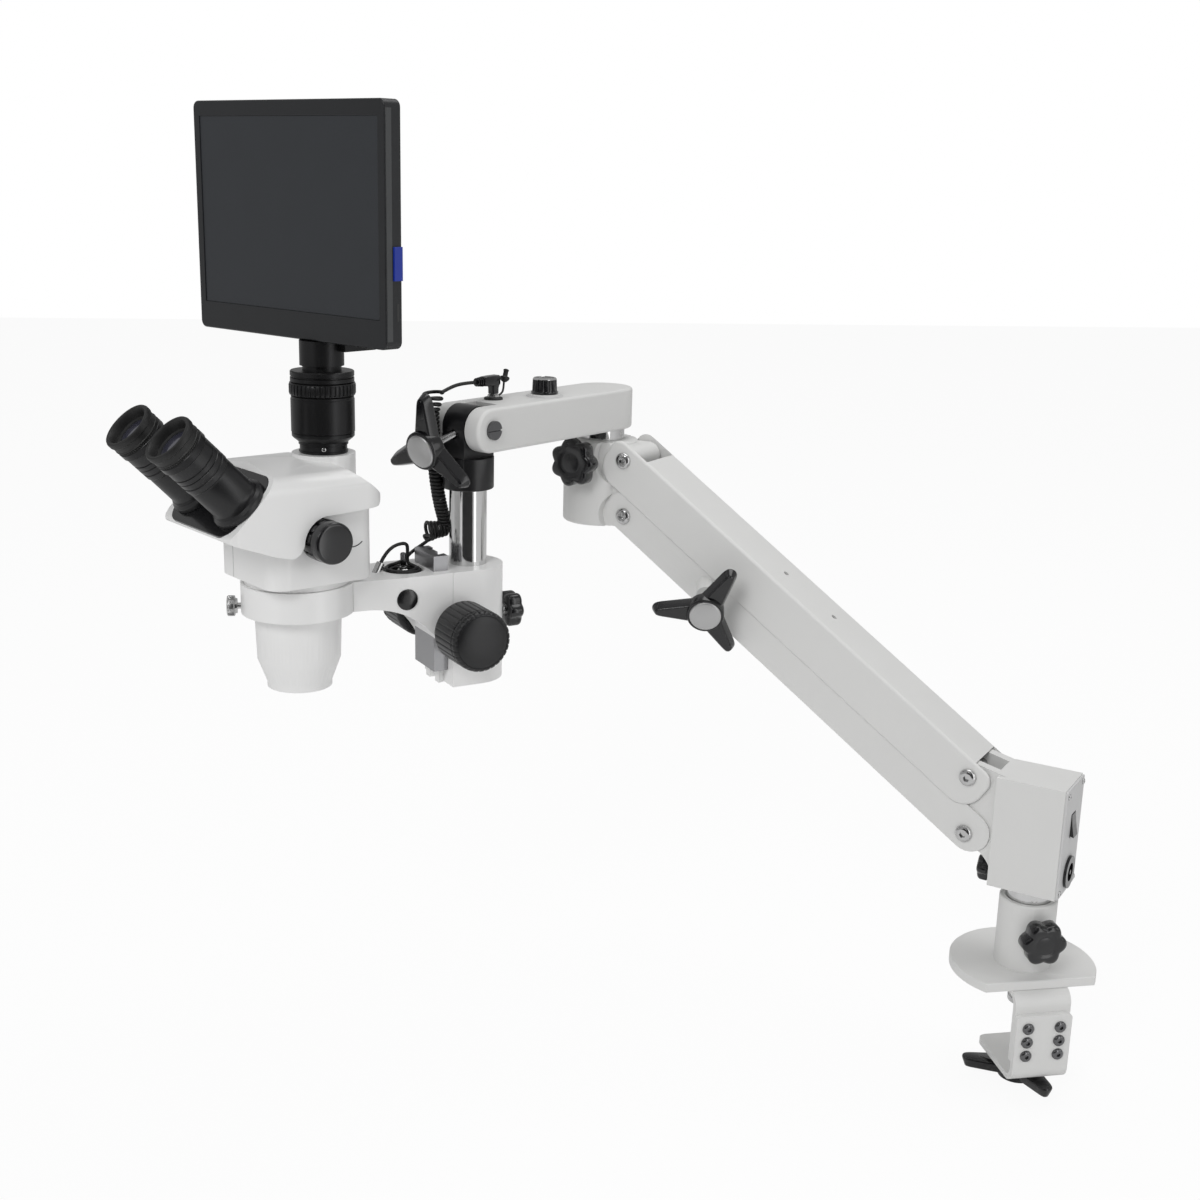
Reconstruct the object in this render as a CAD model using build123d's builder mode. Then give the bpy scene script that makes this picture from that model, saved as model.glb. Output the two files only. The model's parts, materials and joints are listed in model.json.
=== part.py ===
from build123d import *
import math
import os

# Stereo microscope on a desk-clamp spring arm. Millimetres, +Z up.
# Origin: centre of the column, on the face of the upper jaw that rests on the table top.
# -Y is the front of the clamp, where the jaw bolts are.

# How the joints stand in the modelled pose
arm_yaw = 139.1
arm_rise = 34.0
beam_yaw = 222.2
carrier_yaw = 199.7
scope_yaw = 210.2
monitor_yaw = 219.0

# Fits between pieces
running_fit = 0.05
face_gap = 0.3
side_gap = 0.15

# Clamp
jaw_thickness = 5.0
jaw_width = 50.0
jaw_front = 46.5
jaw_back = 22.0
jaw_bend = 12.0
jaw_opening = 71.0
strap_drop = 57.0
hook_top = -12.7
plate_radius = 62.0
plate_flat = 38.0
plate_thickness = 8.0
bolt_spacing = 28.8
bolt_pitch = 12.8
bolt_rows = 3
bolt_margin = 11.3
bolt_shank_radius = 2.5
bolt_head_radius = 5.0
bolt_head_height = 2.6
jaw_screw_radius = 6.0
jaw_screw_y = -10.0
jaw_pad_radius = 14.0
jaw_pad_thickness = 5.0
clamped_table = 15.0

# Column and swivel spindle
column_radius = 24.5
column_height = 60.6
spindle_radius = 19.0
spindle_reach = 25.0
swivel_gap = 12.0
stud_radius = 4.0

# Shoulder housing
housing_height = 98.0
housing_half_length = 30.0
housing_half_width = 26.5
housing_knob_height = 6.0
ear_half_width = 21.5
ear_slot_half_width = 12.0
ear_radius = 11.4
shoulder_reach = 54.3
shoulder_pivot_height = 93.0
panel_thickness = 2.0
switch_height = 61.0
switch_length = 21.0
switch_width = 13.0
inlet_height = 18.0
inlet_radius = 14.0
inlet_flange = 2.5
inlet_contact_radius = 2.0
switch_play = 0.6
rocker_proud = 3.5
rocker_middle = 1.5
rocker_sunk = 0.3
rocker_depth = 1.7
switch_pocket = 6.0

# Parallel arm
arm_length = 415.0
pivot_spacing = 52.0
sheet = 2.0
axle_radius = 5.0
axle_head_radius = 7.5
axle_head_height = 4.0
spacer_radius = 8.0
cover_top = 14.0
cover_drop = 28.0
cover_half_width = 26.5
cover_top_corner = 12.0
cover_bottom_corner = 20.0
cover_edge = 3.0
cover_open_near = 3.0
cover_open_far = 19.0
cover_hole_radius = 2.5
link_overhang = 19.0
channel_half_width = 23.8
channel_top = 22.0
channel_bottom = 14.0
channel_end_radius = 18.0
channel_open = 8.0
gas_anchor_drop = 20.0
gas_line = 17.6
gas_tube_radius = 10.0
gas_tube_start = 95.0
gas_tube_end_gap = 48.0
gas_tube_length = arm_length - gas_tube_start - gas_tube_end_gap
gas_tube_bore = 85.0
gas_lug_length = 18.0
gas_lug_half_width = 7.0
gas_rod_radius = 4.0
gas_rod_reach = 130.0
gas_pin_radius = 3.5
gas_eye_slack = 2.8
gas_eye_wall = 3.0
gas_eye_half_width = 5.0
arm_lock_from_elbow = 104.0
arm_lock_lift = 4.5
arm_lock_boss_radius = 9.0
arm_lock_boss = 14.0
arm_lock_slant = 31.0

# Elbow
elbow_reach = 40.0
elbow_radius = 34.5
elbow_knob_drop = -3.0
elbow_height = 78.0
elbow_below_pivot = 64.0
cover_scoop = 28.3
channel_scoop = 23.2
post_radius = 21.5
post_gap = 10.5
post_reach = 50.0

# Beam
beam_length = 184.5
beam_half_width = 28.0
beam_height = 37.5
pin_above_beam = 19.5
fork_half_gap = 12.5
fork_depth = 24.0
pin_radius = 6.0
pin_head_radius = 8.0
pin_head_height = 3.0
pin_slot = 1.6
socket_from_pin = 43.0
socket_offset = 10.0
socket_radius = 9.0
socket_flange = 2.0
socket_nut_radius = 5.5
socket_nut = 3.0
plug_radius = 5.5
plug_stem = 6.0
plug_body = 13.0
plug_relief_radius = 3.2
plug_relief = 10.0
dimmer_from_pin = 93.0
dimmer_offset = 6.0
dimmer_base_radius = 14.0
dimmer_base = 2.0
dimmer_radius = 12.0
dimmer_height = 14.0
dimmer_shaft_radius = 3.0
dimmer_shaft_reach = 12.0

# Knuckle and pole
tongue_half_width = 12.2
tongue_radius = 18.75
knuckle_radius = 22.0
knuckle_ring_top = 25.0
knuckle_ring_bottom = 52.0
pole_radius = 16.0
pole_top = 28.0
handle_droop = 14.0
handle_stand_off = 28.0
handle_sleeve_gap = 5.0

# Focusing carrier
carrier_below_pin = 117.5
collar_height = 101.0
collar_front = 27.5
collar_half_width = 30.0
pole_past_collar = 3.0
collar_knob_below_top = 46.0
pinion_reach = 23.6
pinion_teeth = 14
gear_module = 0.8
tooth_backlash = 0.35
pinion_half_width = 4.5
gear_slot_half_width = 5.5
rail_depth = 6.0
rail_root_half_width = 11.0
rail_tip_half_width = 13.5
slide_half_width = 20.0
slide_front = 41.0
slide_lift = 13.0
shaft_radius = 3.0
shaft_below_top = 48.0
bearing_radius = 10.0
bearing_reach = 37.0
bearing_set_back = 7.0
focus_knob_radius = 26.0
focus_knob_length = 45.0
focus_knob_face = 82.0
focus_knob_wall = 8.0
ring_reach = 153.0
ring_radius = 45.7
ring_height = 25.0
ring_bore_radius = 38.2
ring_arm_height = 73.0
ring_arm_neck = 24.0
arm_shoulder = 68.0
arm_recess_reach = 62.0
arm_recess_drop = 37.0
pocket_reach = 60.0
pocket_radius = 18.0
pocket_depth = 9.0
bush_radius = 6.0
bush_height = 6.0
bush_bore_radius = 3.6
bush_bore = 4.0
lever_radius = 1.6
lever_length = 20.0
gland_reach = 84.0
gland_radius = 3.5
gland_length = 8.0
thumb_angle = -22.0
thumb_drop = 21.0
thumb_radius = 8.5
thumb_length = 8.0
thumb_gap = 3.0
thumb_stud_radius = 2.5

# Microscope head, heights from the top of the ring
nose_radius = 35.2
nose_waist_radius = 34.0
nose_rim_radius = 26.5
nose_waist_drop = 64.5
nose_cone_drop = 84.5
nose_tip_drop = 88.5
head_gap = 0.2
flange_radius = 43.0
flange_height = 5.5
body_front = 50.0
body_back = 45.0
body_half_width = 46.0
body_corner = 16.0
seam_front = 35.0
seam_front_height = 37.0
seam_low = 33.5
seam_middle = 46.0
seam_high = 64.0
seam_rear_height = 66.0
seam_step = 10.5
seam_run = 34.0
seam_low_reach = 0.76
seam_low_rise = 0.4
seam_high_reach = 0.28
seam_high_rise = 0.67
shell_edge = 14.0
shell_half_width = 57.0
shell_rear_corner = 22.0
shell_front_corner = 10.0
shell_side_top = 96.0
shell_crown = 101.5
lip_reach = 90.0
lip_height = 52.0
shell_rear_reach = 54.0
shell_rear_height = 71.5
shell_crown_rear = -14.0
zoom_knob_reach = 6.0
zoom_knob_height = 44.5
zoom_knob_radius = 17.0
zoom_knob_gap = 1.0
zoom_stub_radius = 5.0
zoom_stub_length = 8.0
zoom_knob_face = 71.0
tube_angle = 45.0
eye_spacing = 69.0
eyetube_swing = 12.0
eyetube_base_radius = 23.0
eyetube_base_height = 9.0
eyetube_radius = 19.5
eyetube_length = 48.0
eyetube_pivot_radius = 6.0
eyetube_pivot_length = 7.0
plate_half_width = 51.0
plate_half_length = 30.0
plate_corner = 16.0
plate_recess = 3.0
plate_proud = 0.4
plate_from_lip = 33.0
eyepiece_radius = 19.5
eyecup_radius = 21.0
eyecup_length = 19.0
eyepiece_length = 33.0
eyecup_bore_radius = 16.0
eyecup_bore = 8.0
spigot_radius = 15.0
spigot_length = 16.0
lens_radius = 23.0
lens_seat = 14.0
lens_drop = 1.5
lens_curve = 90.0
port_back = 27.0
port_radius = 25.5
port_rim = 103.5

# Camera adapter and display, stacked upwards from the port
adapter_neck_radius = 19.0
adapter_neck = 9.0
adapter_spigot = 14.0
adapter_socket = 6.0
adapter_cone = 5.0
adapter_radius = 25.5
adapter_length = 32.0
knurl_radius = 26.6
knurl_length = 11.0
knurl_seat_radius = 21.0
flange_length = 9.0
mount_neck_radius = 15.5
mount_neck = 4.0
mount_radius = 17.75
mount_length = 12.0
block_plate = 7.7
block_half_width = 26.0
block_back = 34.0
block_height = 66.0
monitor_width = 233.0
monitor_height = 182.0
monitor_thickness = 16.0
monitor_front = 13.6
monitor_shift = 24.0
monitor_lift = 8.0
monitor_corner = 6.0
bezel_side = 8.0
bezel_top = 12.0
bezel_bottom = 22.0
screen_thickness = 1.6
screen_recess = 0.8

# Cord
lead_radius = 1.4
curl_radius = 6.0
curl_stub = 8.0
knot_radius = 9.0
knot_flat = 7.0
coil_radius = 16.0
coil_bore_radius = 8.5
coil_height = 12.0
coil_stub = 8.0
bend_share = 0.45
lead_run = 23.5
curl_past_pin = 26.0
curl_aside = 16.0
curl_rise = 30.34
curl_entry_rise = 26.34
curl_low_past_pin = 24.5
curl_low_aside = 20.5
curl_low_drop = 49.66
knot_reach = 16.5
knot_aside = 24.0
knot_rise = 25.84
drop_reach = 40.0
drop_aside = 24.5
drop_rise = 8.84
coil_entry_back = 8.0
coil_entry_aside = 15.0
coil_entry_rise = 3.84
coil_corner = 1.4
tail_back = 7.5
tail_aside = 9.5
tail_rise_height = 21.0
tail_turn_past = 12.0
tail_turn_aside = 5.0
tail_turn_rise = 18.0

os.makedirs("parts", exist_ok=True)


def turned(foot, yaw):
    """A level frame at a point, turned about the vertical."""
    angle = math.radians(yaw)
    return Plane(origin=foot, x_dir=(math.cos(angle), math.sin(angle), 0), z_dir=(0, 0, 1))


def inside(frame, x, y, z):
    """The point of the whole object that has these coordinates in a frame."""
    return frame.from_local_coords(Vector(x, y, z))


def seat_in(frame, point, out):
    """A plane at a point of a frame, its normal along a direction of that frame."""
    outward = Vector(*out)
    level = Vector(-outward.Y, outward.X, 0)
    if level.length < 1e-6:
        level = Vector(1, 0, 0)
    local = Plane(origin=point, x_dir=level, z_dir=outward)
    return Plane(frame.location * local.location)


def seat_around(frame, angle, radius, height, droop=0.0):
    """A plane on a round piece, its normal pointing outwards."""
    turn = math.radians(angle)
    dip = math.radians(droop)
    out = (math.cos(turn) * math.cos(dip), math.sin(turn) * math.cos(dip), -math.sin(dip))
    return seat_in(frame, (radius * math.cos(turn), radius * math.sin(turn), height), out)


def keep(piece, name, frame=Plane.XY):
    """Puts a finished piece in its frame, labels it and writes its file."""
    placed = piece.part.moved(frame.location)
    placed.label = name
    export_step(placed, f"parts/{name}.step")


lobe_share = 0.3
stud_boss = 3.0


def lobed_knob(name, seat, lobes, tip_radius, thickness, stand_off, reach_in):
    """A moulded lock knob with its stud, seated on the wall that the stud goes through."""
    lobe_radius = lobe_share * tip_radius
    with BuildPart() as knob:
        with BuildSketch(Plane.XY.offset(stand_off)):
            Circle(tip_radius - lobe_radius)
            with PolarLocations(tip_radius - lobe_radius, lobes):
                Circle(lobe_radius)
        extrude(amount=thickness)
        fillet(knob.faces().sort_by(Axis.Z)[-1].edges(), 1.5)
        with BuildSketch(Plane.XY.offset(stand_off - stud_boss)):
            Circle(tip_radius - 2 * lobe_radius)
        extrude(amount=stud_boss)
        with BuildSketch(Plane.XY.offset(-reach_in)):
            Circle(stud_radius)
        extrude(amount=reach_in + stand_off)
    keep(knob, name, seat)


star_reach = 41.0
star_tip_radius = 6.5
star_root = 13.0
star_hub_radius = 16.5
star_hub = 13.0
star_arm = 10.0
star_cap_radius = 14.0
star_cap = 1.6


def star_handle(name, seat, stand_off, reach_in, screw_radius, sleeve_radius, sleeve_length, turn):
    """A clamping handle with three arms and its screw, seated on the wall that the screw goes through."""
    with BuildPart() as handle:
        with BuildSketch(Plane.XY.offset(stand_off)) as arms:
            Circle(star_hub_radius)
            for arm in range(3):
                with Locations(Location((0, 0, 0), (0, 0, turn + 120 * arm))):
                    with Locations((star_reach, 0)):
                        Circle(star_tip_radius)
                    Polygon(
                        (0, -star_root), (star_reach, -star_tip_radius), (star_reach, star_tip_radius),
                        (0, star_root), align=None,
                    )
        extrude(amount=star_arm)
        fillet(handle.faces().sort_by(Axis.Z)[-1].edges(), 2)
        with BuildSketch(Plane.XY.offset(stand_off)):
            Circle(star_hub_radius)
        extrude(amount=star_hub)
        with BuildSketch(Plane.XY.offset(stand_off + star_hub)):
            Circle(star_cap_radius)
        extrude(amount=star_cap)
        with BuildSketch(Plane.XY.offset(stand_off - sleeve_length)):
            Circle(sleeve_radius)
        extrude(amount=sleeve_length)
        with BuildSketch(Plane.XY.offset(-reach_in)):
            Circle(screw_radius)
        extrude(amount=reach_in + stand_off)
    keep(handle, name, seat)


# Heights
plate_top = jaw_thickness + plate_thickness
column_top = plate_top + column_height
housing_bottom = column_top + swivel_gap
housing_top = housing_bottom + housing_height
shoulder_pivot_z = housing_bottom + shoulder_pivot_height
lower_pivot_z = shoulder_pivot_z - pivot_spacing
rise = math.radians(arm_rise)
elbow_pivot_z = shoulder_pivot_z + arm_length * math.sin(rise)
elbow_bottom = elbow_pivot_z - elbow_below_pivot
elbow_top = elbow_bottom + elbow_height
beam_bottom = elbow_top + post_gap
beam_top = beam_bottom + beam_height
pin_z = beam_bottom + pin_above_beam
carrier_top = pin_z - carrier_below_pin
carrier_bottom = carrier_top - collar_height
pole_bottom = carrier_bottom + pole_past_collar
shaft_z = carrier_top - shaft_below_top
ring_bottom = carrier_top - ring_height
head_base = carrier_top + head_gap

# Frames: X of the shoulder runs along the arm, X of the beam to the pole, X of the carrier to the ring,
# and X of the head to its user
shoulder = turned((0, 0, 0), arm_yaw)
elbow_x = shoulder_reach + arm_length * math.cos(rise) + elbow_reach
elbow_foot = inside(shoulder, elbow_x, 0, 0)
elbow = turned(elbow_foot, arm_yaw)
beam_frame = turned(elbow_foot, beam_yaw)
pole_foot = inside(beam_frame, beam_length, 0, 0)
knuckle_frame = turned(pole_foot, beam_yaw)
carrier = turned(pole_foot, carrier_yaw)
ring_foot = inside(carrier, ring_reach, 0, 0)
head = turned(ring_foot, scope_yaw)
port_foot = inside(head, -port_back, 0, 0)
port = turned(port_foot, scope_yaw)
display = turned(port_foot, monitor_yaw)
link_along = inside(shoulder, math.cos(rise), 0, math.sin(rise))
link_up = inside(shoulder, -math.sin(rise), 0, math.cos(rise))
upper_link = Plane(origin=inside(shoulder, shoulder_reach, 0, shoulder_pivot_z), x_dir=link_along, z_dir=link_up)
lower_link = Plane(origin=inside(shoulder, shoulder_reach, 0, lower_pivot_z), x_dir=link_along, z_dir=link_up)

# Clamp: plate with its column
column_wall = column_radius - spindle_radius - running_fit
column_knob_seat = seat_around(Plane.XY, -93, column_radius, plate_top + 35)

with BuildPart() as base_column:
    with BuildSketch(Plane.XY.offset(jaw_thickness)):
        Circle(plate_radius)
        with Locations((0, -plate_flat - plate_radius)):
            Rectangle(2 * plate_radius, 2 * plate_radius, mode=Mode.SUBTRACT)
    extrude(amount=plate_thickness)
    chamfer(base_column.faces().sort_by(Axis.Z)[-1].edges(), 0.8)
    with BuildSketch(Plane.XY.offset(plate_top)):
        Circle(column_radius)
    extrude(amount=column_height)
    with BuildSketch(Plane.XY.offset(plate_top)):
        Circle(spindle_radius + running_fit)
    extrude(amount=column_height, mode=Mode.SUBTRACT)
    chamfer(base_column.faces().sort_by(Axis.Z)[-1].edges(), 1)
    with BuildSketch(column_knob_seat.offset(2)):
        Circle(stud_radius + running_fit)
    extrude(amount=-column_wall - 4, mode=Mode.SUBTRACT)
keep(base_column, "base_column")

# Clamp: strap, hook and their bolts
bolt_top = hook_top - bolt_margin
bolt_places = [
    (side * bolt_spacing / 2, bolt_top - row * bolt_pitch) for side in (-1, 1) for row in range(bolt_rows)
]
jaw_inner = jaw_front - jaw_thickness
hook_front = jaw_front + jaw_thickness
hook_bottom = -jaw_opening - jaw_thickness

with BuildPart() as upper_jaw:
    with BuildSketch(Plane.YZ) as strap_profile:
        Polygon(
            (jaw_back, 0), (-jaw_inner, 0), (-jaw_inner, -strap_drop), (-jaw_front, -strap_drop),
            (-jaw_front, jaw_thickness), (jaw_back, jaw_thickness), align=None,
        )
        fillet(strap_profile.vertices().group_by(Axis.X)[0].sort_by(Axis.Y)[-1], jaw_bend)
        fillet(strap_profile.vertices().group_by(Axis.X)[1].sort_by(Axis.Y)[-1], jaw_bend - jaw_thickness)
    extrude(amount=jaw_width / 2, both=True)
    with BuildSketch(Plane.XZ.offset(jaw_inner - 1)):
        with Locations(*bolt_places):
            Circle(bolt_shank_radius + running_fit)
    extrude(amount=jaw_thickness + 2, mode=Mode.SUBTRACT)
keep(upper_jaw, "upper_jaw")

with BuildPart() as lower_jaw:
    with BuildSketch(Plane.YZ) as hook_profile:
        Polygon(
            (-jaw_front, hook_top), (-jaw_front, -jaw_opening), (jaw_back, -jaw_opening), (jaw_back, hook_bottom),
            (-hook_front, hook_bottom), (-hook_front, hook_top), align=None,
        )
        fillet(hook_profile.vertices().group_by(Axis.X)[0].sort_by(Axis.Y)[0], jaw_bend)
        fillet(hook_profile.vertices().group_by(Axis.X)[1].sort_by(Axis.Y)[0], jaw_bend - jaw_thickness)
    extrude(amount=jaw_width / 2, both=True)
    fillet(lower_jaw.edges().filter_by(Axis.Y).group_by(Axis.Z)[-1], 4)
    fillet(lower_jaw.edges().filter_by(Axis.Z).group_by(Axis.Y)[-1], 8)
    with BuildSketch(Plane.XZ.offset(jaw_front - 1)):
        with Locations(*bolt_places):
            Circle(bolt_shank_radius + running_fit)
    extrude(amount=jaw_thickness + 2, mode=Mode.SUBTRACT)
    with BuildSketch(Plane.XY.offset(hook_bottom - 1)):
        with Locations((0, jaw_screw_y)):
            Circle(jaw_screw_radius + running_fit)
    extrude(amount=jaw_thickness + 2, mode=Mode.SUBTRACT)
keep(lower_jaw, "lower_jaw")

with BuildPart() as jaw_bolts:
    with BuildSketch(Plane.XZ.offset(jaw_inner)):
        with Locations(*bolt_places):
            Circle(bolt_shank_radius)
    extrude(amount=2 * jaw_thickness)
    with BuildSketch(Plane.XZ.offset(hook_front)):
        with Locations(*bolt_places):
            Circle(bolt_head_radius)
    extrude(amount=bolt_head_height)
    chamfer(jaw_bolts.faces().group_by(Axis.Y)[0].edges(), 1.2)
    with BuildSketch(Plane.XZ.offset(hook_front + bolt_head_height)):
        with Locations(*bolt_places):
            RegularPolygon(1.8, 6)
    extrude(amount=-1.6, mode=Mode.SUBTRACT)
keep(jaw_bolts, "jaw_bolts")

# Clamp: knobs, pad and screw
lobed_knob("column_lock_knob", column_knob_seat, 6, 19.5, 15.5, 4.5, column_wall - face_gap)

screw_top = -clamped_table - jaw_pad_thickness
with BuildPart() as jaw_pad:
    with BuildSketch(Plane.XY.offset(screw_top)):
        with Locations((0, jaw_screw_y)):
            Circle(jaw_pad_radius)
    extrude(amount=jaw_pad_thickness)
    fillet(jaw_pad.faces().sort_by(Axis.Z)[-1].edges(), 1)
keep(jaw_pad, "jaw_pad")

screw_seat = seat_in(Plane.XY, (0, jaw_screw_y, hook_bottom), (0, 0, -1))
star_handle("jaw_handle", screw_seat, 4, screw_top - hook_bottom, jaw_screw_radius, 9, 2.5, 80)

# Shoulder
with BuildPart() as shoulder_spindle:
    with BuildSketch(Plane.XY.offset(plate_top + face_gap)):
        Circle(spindle_radius)
    extrude(amount=housing_bottom + spindle_reach - plate_top - face_gap)
    chamfer(shoulder_spindle.edges().filter_by(GeomType.CIRCLE), 0.8)
keep(shoulder_spindle, "shoulder_spindle", shoulder)

ear_tip = shoulder_reach + ear_radius
ear_slope = math.sqrt(0.5) * ear_radius
gas_pin_z = shoulder_pivot_z - gas_anchor_drop
housing_face = housing_half_length - panel_thickness
with BuildPart() as shoulder_housing:
    with BuildSketch(Plane.XZ):
        with BuildLine():
            Line((housing_half_length - 8, housing_top), (shoulder_reach - 5, shoulder_pivot_z + ear_radius))
            Line((shoulder_reach - 5, shoulder_pivot_z + ear_radius), (shoulder_reach, shoulder_pivot_z + ear_radius))
            ThreePointArc(
                (shoulder_reach, shoulder_pivot_z + ear_radius),
                (shoulder_reach + ear_slope, shoulder_pivot_z + ear_slope),
                (ear_tip, shoulder_pivot_z),
            )
            Line((ear_tip, shoulder_pivot_z), (ear_tip, lower_pivot_z))
            ThreePointArc(
                (ear_tip, lower_pivot_z),
                (shoulder_reach + ear_slope, lower_pivot_z - ear_slope),
                (shoulder_reach, lower_pivot_z - ear_radius),
            )
            Line((shoulder_reach, lower_pivot_z - ear_radius), (shoulder_reach - 7, lower_pivot_z - ear_radius))
            ThreePointArc(
                (shoulder_reach - 7, lower_pivot_z - ear_radius),
                (housing_half_length + 6.5, housing_bottom + 22.5),
                (housing_half_length, housing_bottom + 12),
            )
            Line((housing_half_length, housing_bottom + 12), (housing_half_length - 8, housing_bottom + 12))
            Line((housing_half_length - 8, housing_bottom + 12), (housing_half_length - 8, housing_top))
        make_face()
    extrude(amount=ear_half_width, both=True)
    with BuildSketch(Plane.XY.offset(lower_pivot_z - 2 * ear_radius)):
        with Locations((housing_half_length + shoulder_reach / 2 + 1, 0)):
            Rectangle(shoulder_reach, 2 * ear_slot_half_width)
    extrude(amount=housing_height, mode=Mode.SUBTRACT)
    with BuildSketch(Plane.XY.offset(housing_bottom)):
        with Locations(((housing_half_length - housing_face) / 2, 0)):
            Rectangle(housing_half_length + housing_face, 2 * housing_half_width)
    extrude(amount=housing_height)
    with BuildSketch(Plane.XZ.offset(-ear_half_width)):
        with Locations((shoulder_reach, shoulder_pivot_z), (shoulder_reach, lower_pivot_z)):
            Circle(axle_radius + running_fit)
        with Locations((shoulder_reach, gas_pin_z)):
            Circle(gas_pin_radius + running_fit)
    extrude(amount=2 * ear_half_width, mode=Mode.SUBTRACT)
    with BuildSketch(Plane.XY.offset(housing_bottom)):
        Circle(spindle_radius + running_fit)
    extrude(amount=spindle_reach, mode=Mode.SUBTRACT)
    with BuildSketch(Plane.YZ.offset(spindle_radius)):
        with Locations((0, housing_bottom + housing_knob_height)):
            Circle(stud_radius + running_fit)
    extrude(amount=housing_half_length, mode=Mode.SUBTRACT)
    with BuildSketch(Plane.YZ.offset(-housing_face)):
        with Locations((0, housing_bottom + switch_height)):
            Rectangle(switch_width, switch_length)
    extrude(amount=switch_pocket, mode=Mode.SUBTRACT)
keep(shoulder_housing, "shoulder_housing", shoulder)

housing_knob_seat = seat_in(shoulder, (housing_half_length, 0, housing_bottom + housing_knob_height), (1, 0, 0))
housing_knob_reach = housing_half_length - spindle_radius - face_gap
lobed_knob("shoulder_lock_knob", housing_knob_seat, 6, 13, 11, 4, housing_knob_reach)

# On the rear panel x runs across the housing and y upwards
panel_seat = Plane(origin=(-housing_face, 0, housing_bottom), x_dir=(0, -1, 0), z_dir=(-1, 0, 0))
with BuildPart() as rear_panel:
    with BuildSketch(panel_seat):
        with Locations((0, housing_height / 2)):
            RectangleRounded(2 * housing_half_width - 1, housing_height - 1, 2)
        with Locations((0, switch_height)):
            Rectangle(switch_width, switch_length, mode=Mode.SUBTRACT)
        with Locations((0, inlet_height)):
            Circle(inlet_radius - 4, mode=Mode.SUBTRACT)
    extrude(amount=panel_thickness)
keep(rear_panel, "rear_panel", shoulder)

inlet_face = panel_seat.offset(panel_thickness)
with BuildPart() as power_inlet:
    with BuildSketch(inlet_face):
        with Locations((0, inlet_height)):
            Circle(inlet_radius)
    extrude(amount=inlet_flange)
    with BuildSketch(inlet_face):
        with Locations((0, inlet_height)):
            Circle(inlet_radius - 4 - running_fit)
    extrude(amount=-panel_thickness)
    with BuildSketch(inlet_face.offset(inlet_flange)):
        with Locations((0, inlet_height)):
            Circle(inlet_radius - 6)
    extrude(amount=-inlet_flange - panel_thickness + 1, mode=Mode.SUBTRACT)
    with BuildSketch(inlet_face.offset(-panel_thickness)):
        with Locations((0, inlet_height)):
            Circle(inlet_contact_radius)
    extrude(amount=panel_thickness + inlet_flange)
keep(power_inlet, "power_inlet", shoulder)

rocker_plane = Plane(origin=(-housing_half_length, 0, housing_bottom + switch_height), x_dir=(0, 0, 1), z_dir=(0, -1, 0))
with BuildPart() as rocker_switch:
    with BuildSketch(rocker_plane):
        Polygon(
            (-switch_length / 2 + switch_play, rocker_proud), (0, rocker_middle),
            (switch_length / 2 - switch_play, rocker_sunk), (switch_length / 2 - switch_play - 1.5, -rocker_depth),
            (-switch_length / 2 + switch_play + 1.5, -rocker_depth), align=None,
        )
    extrude(amount=switch_width / 2 - switch_play, both=True)
keep(rocker_switch, "rocker_switch", shoulder)

with BuildPart() as shoulder_axles:
    with BuildSketch(Plane.XZ.offset(-cover_half_width - side_gap)):
        with Locations((shoulder_reach, shoulder_pivot_z), (shoulder_reach, lower_pivot_z)):
            Circle(axle_radius)
    extrude(amount=2 * (cover_half_width + side_gap))
    for side in (-1, 1):
        with BuildSketch(Plane.XZ.offset(-side * (cover_half_width + side_gap))):
            with Locations((shoulder_reach, shoulder_pivot_z)):
                Circle(axle_head_radius)
        extrude(amount=-side * axle_head_height)
        with BuildSketch(Plane.XZ.offset(-side * (channel_half_width + side_gap))):
            with Locations((shoulder_reach, lower_pivot_z)):
                Circle(axle_head_radius)
        extrude(amount=-side * axle_head_height)
        with BuildSketch(Plane.XZ.offset(-side * ear_half_width)):
            with Locations((shoulder_reach, shoulder_pivot_z)):
                Circle(spacer_radius)
        extrude(amount=-side * (cover_half_width - sheet - side_gap - ear_half_width))
    with BuildSketch(Plane.XZ.offset(-ear_half_width)):
        with Locations((shoulder_reach, gas_pin_z)):
            Circle(gas_pin_radius)
    extrude(amount=2 * ear_half_width)
keep(shoulder_axles, "shoulder_axles", shoulder)

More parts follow.
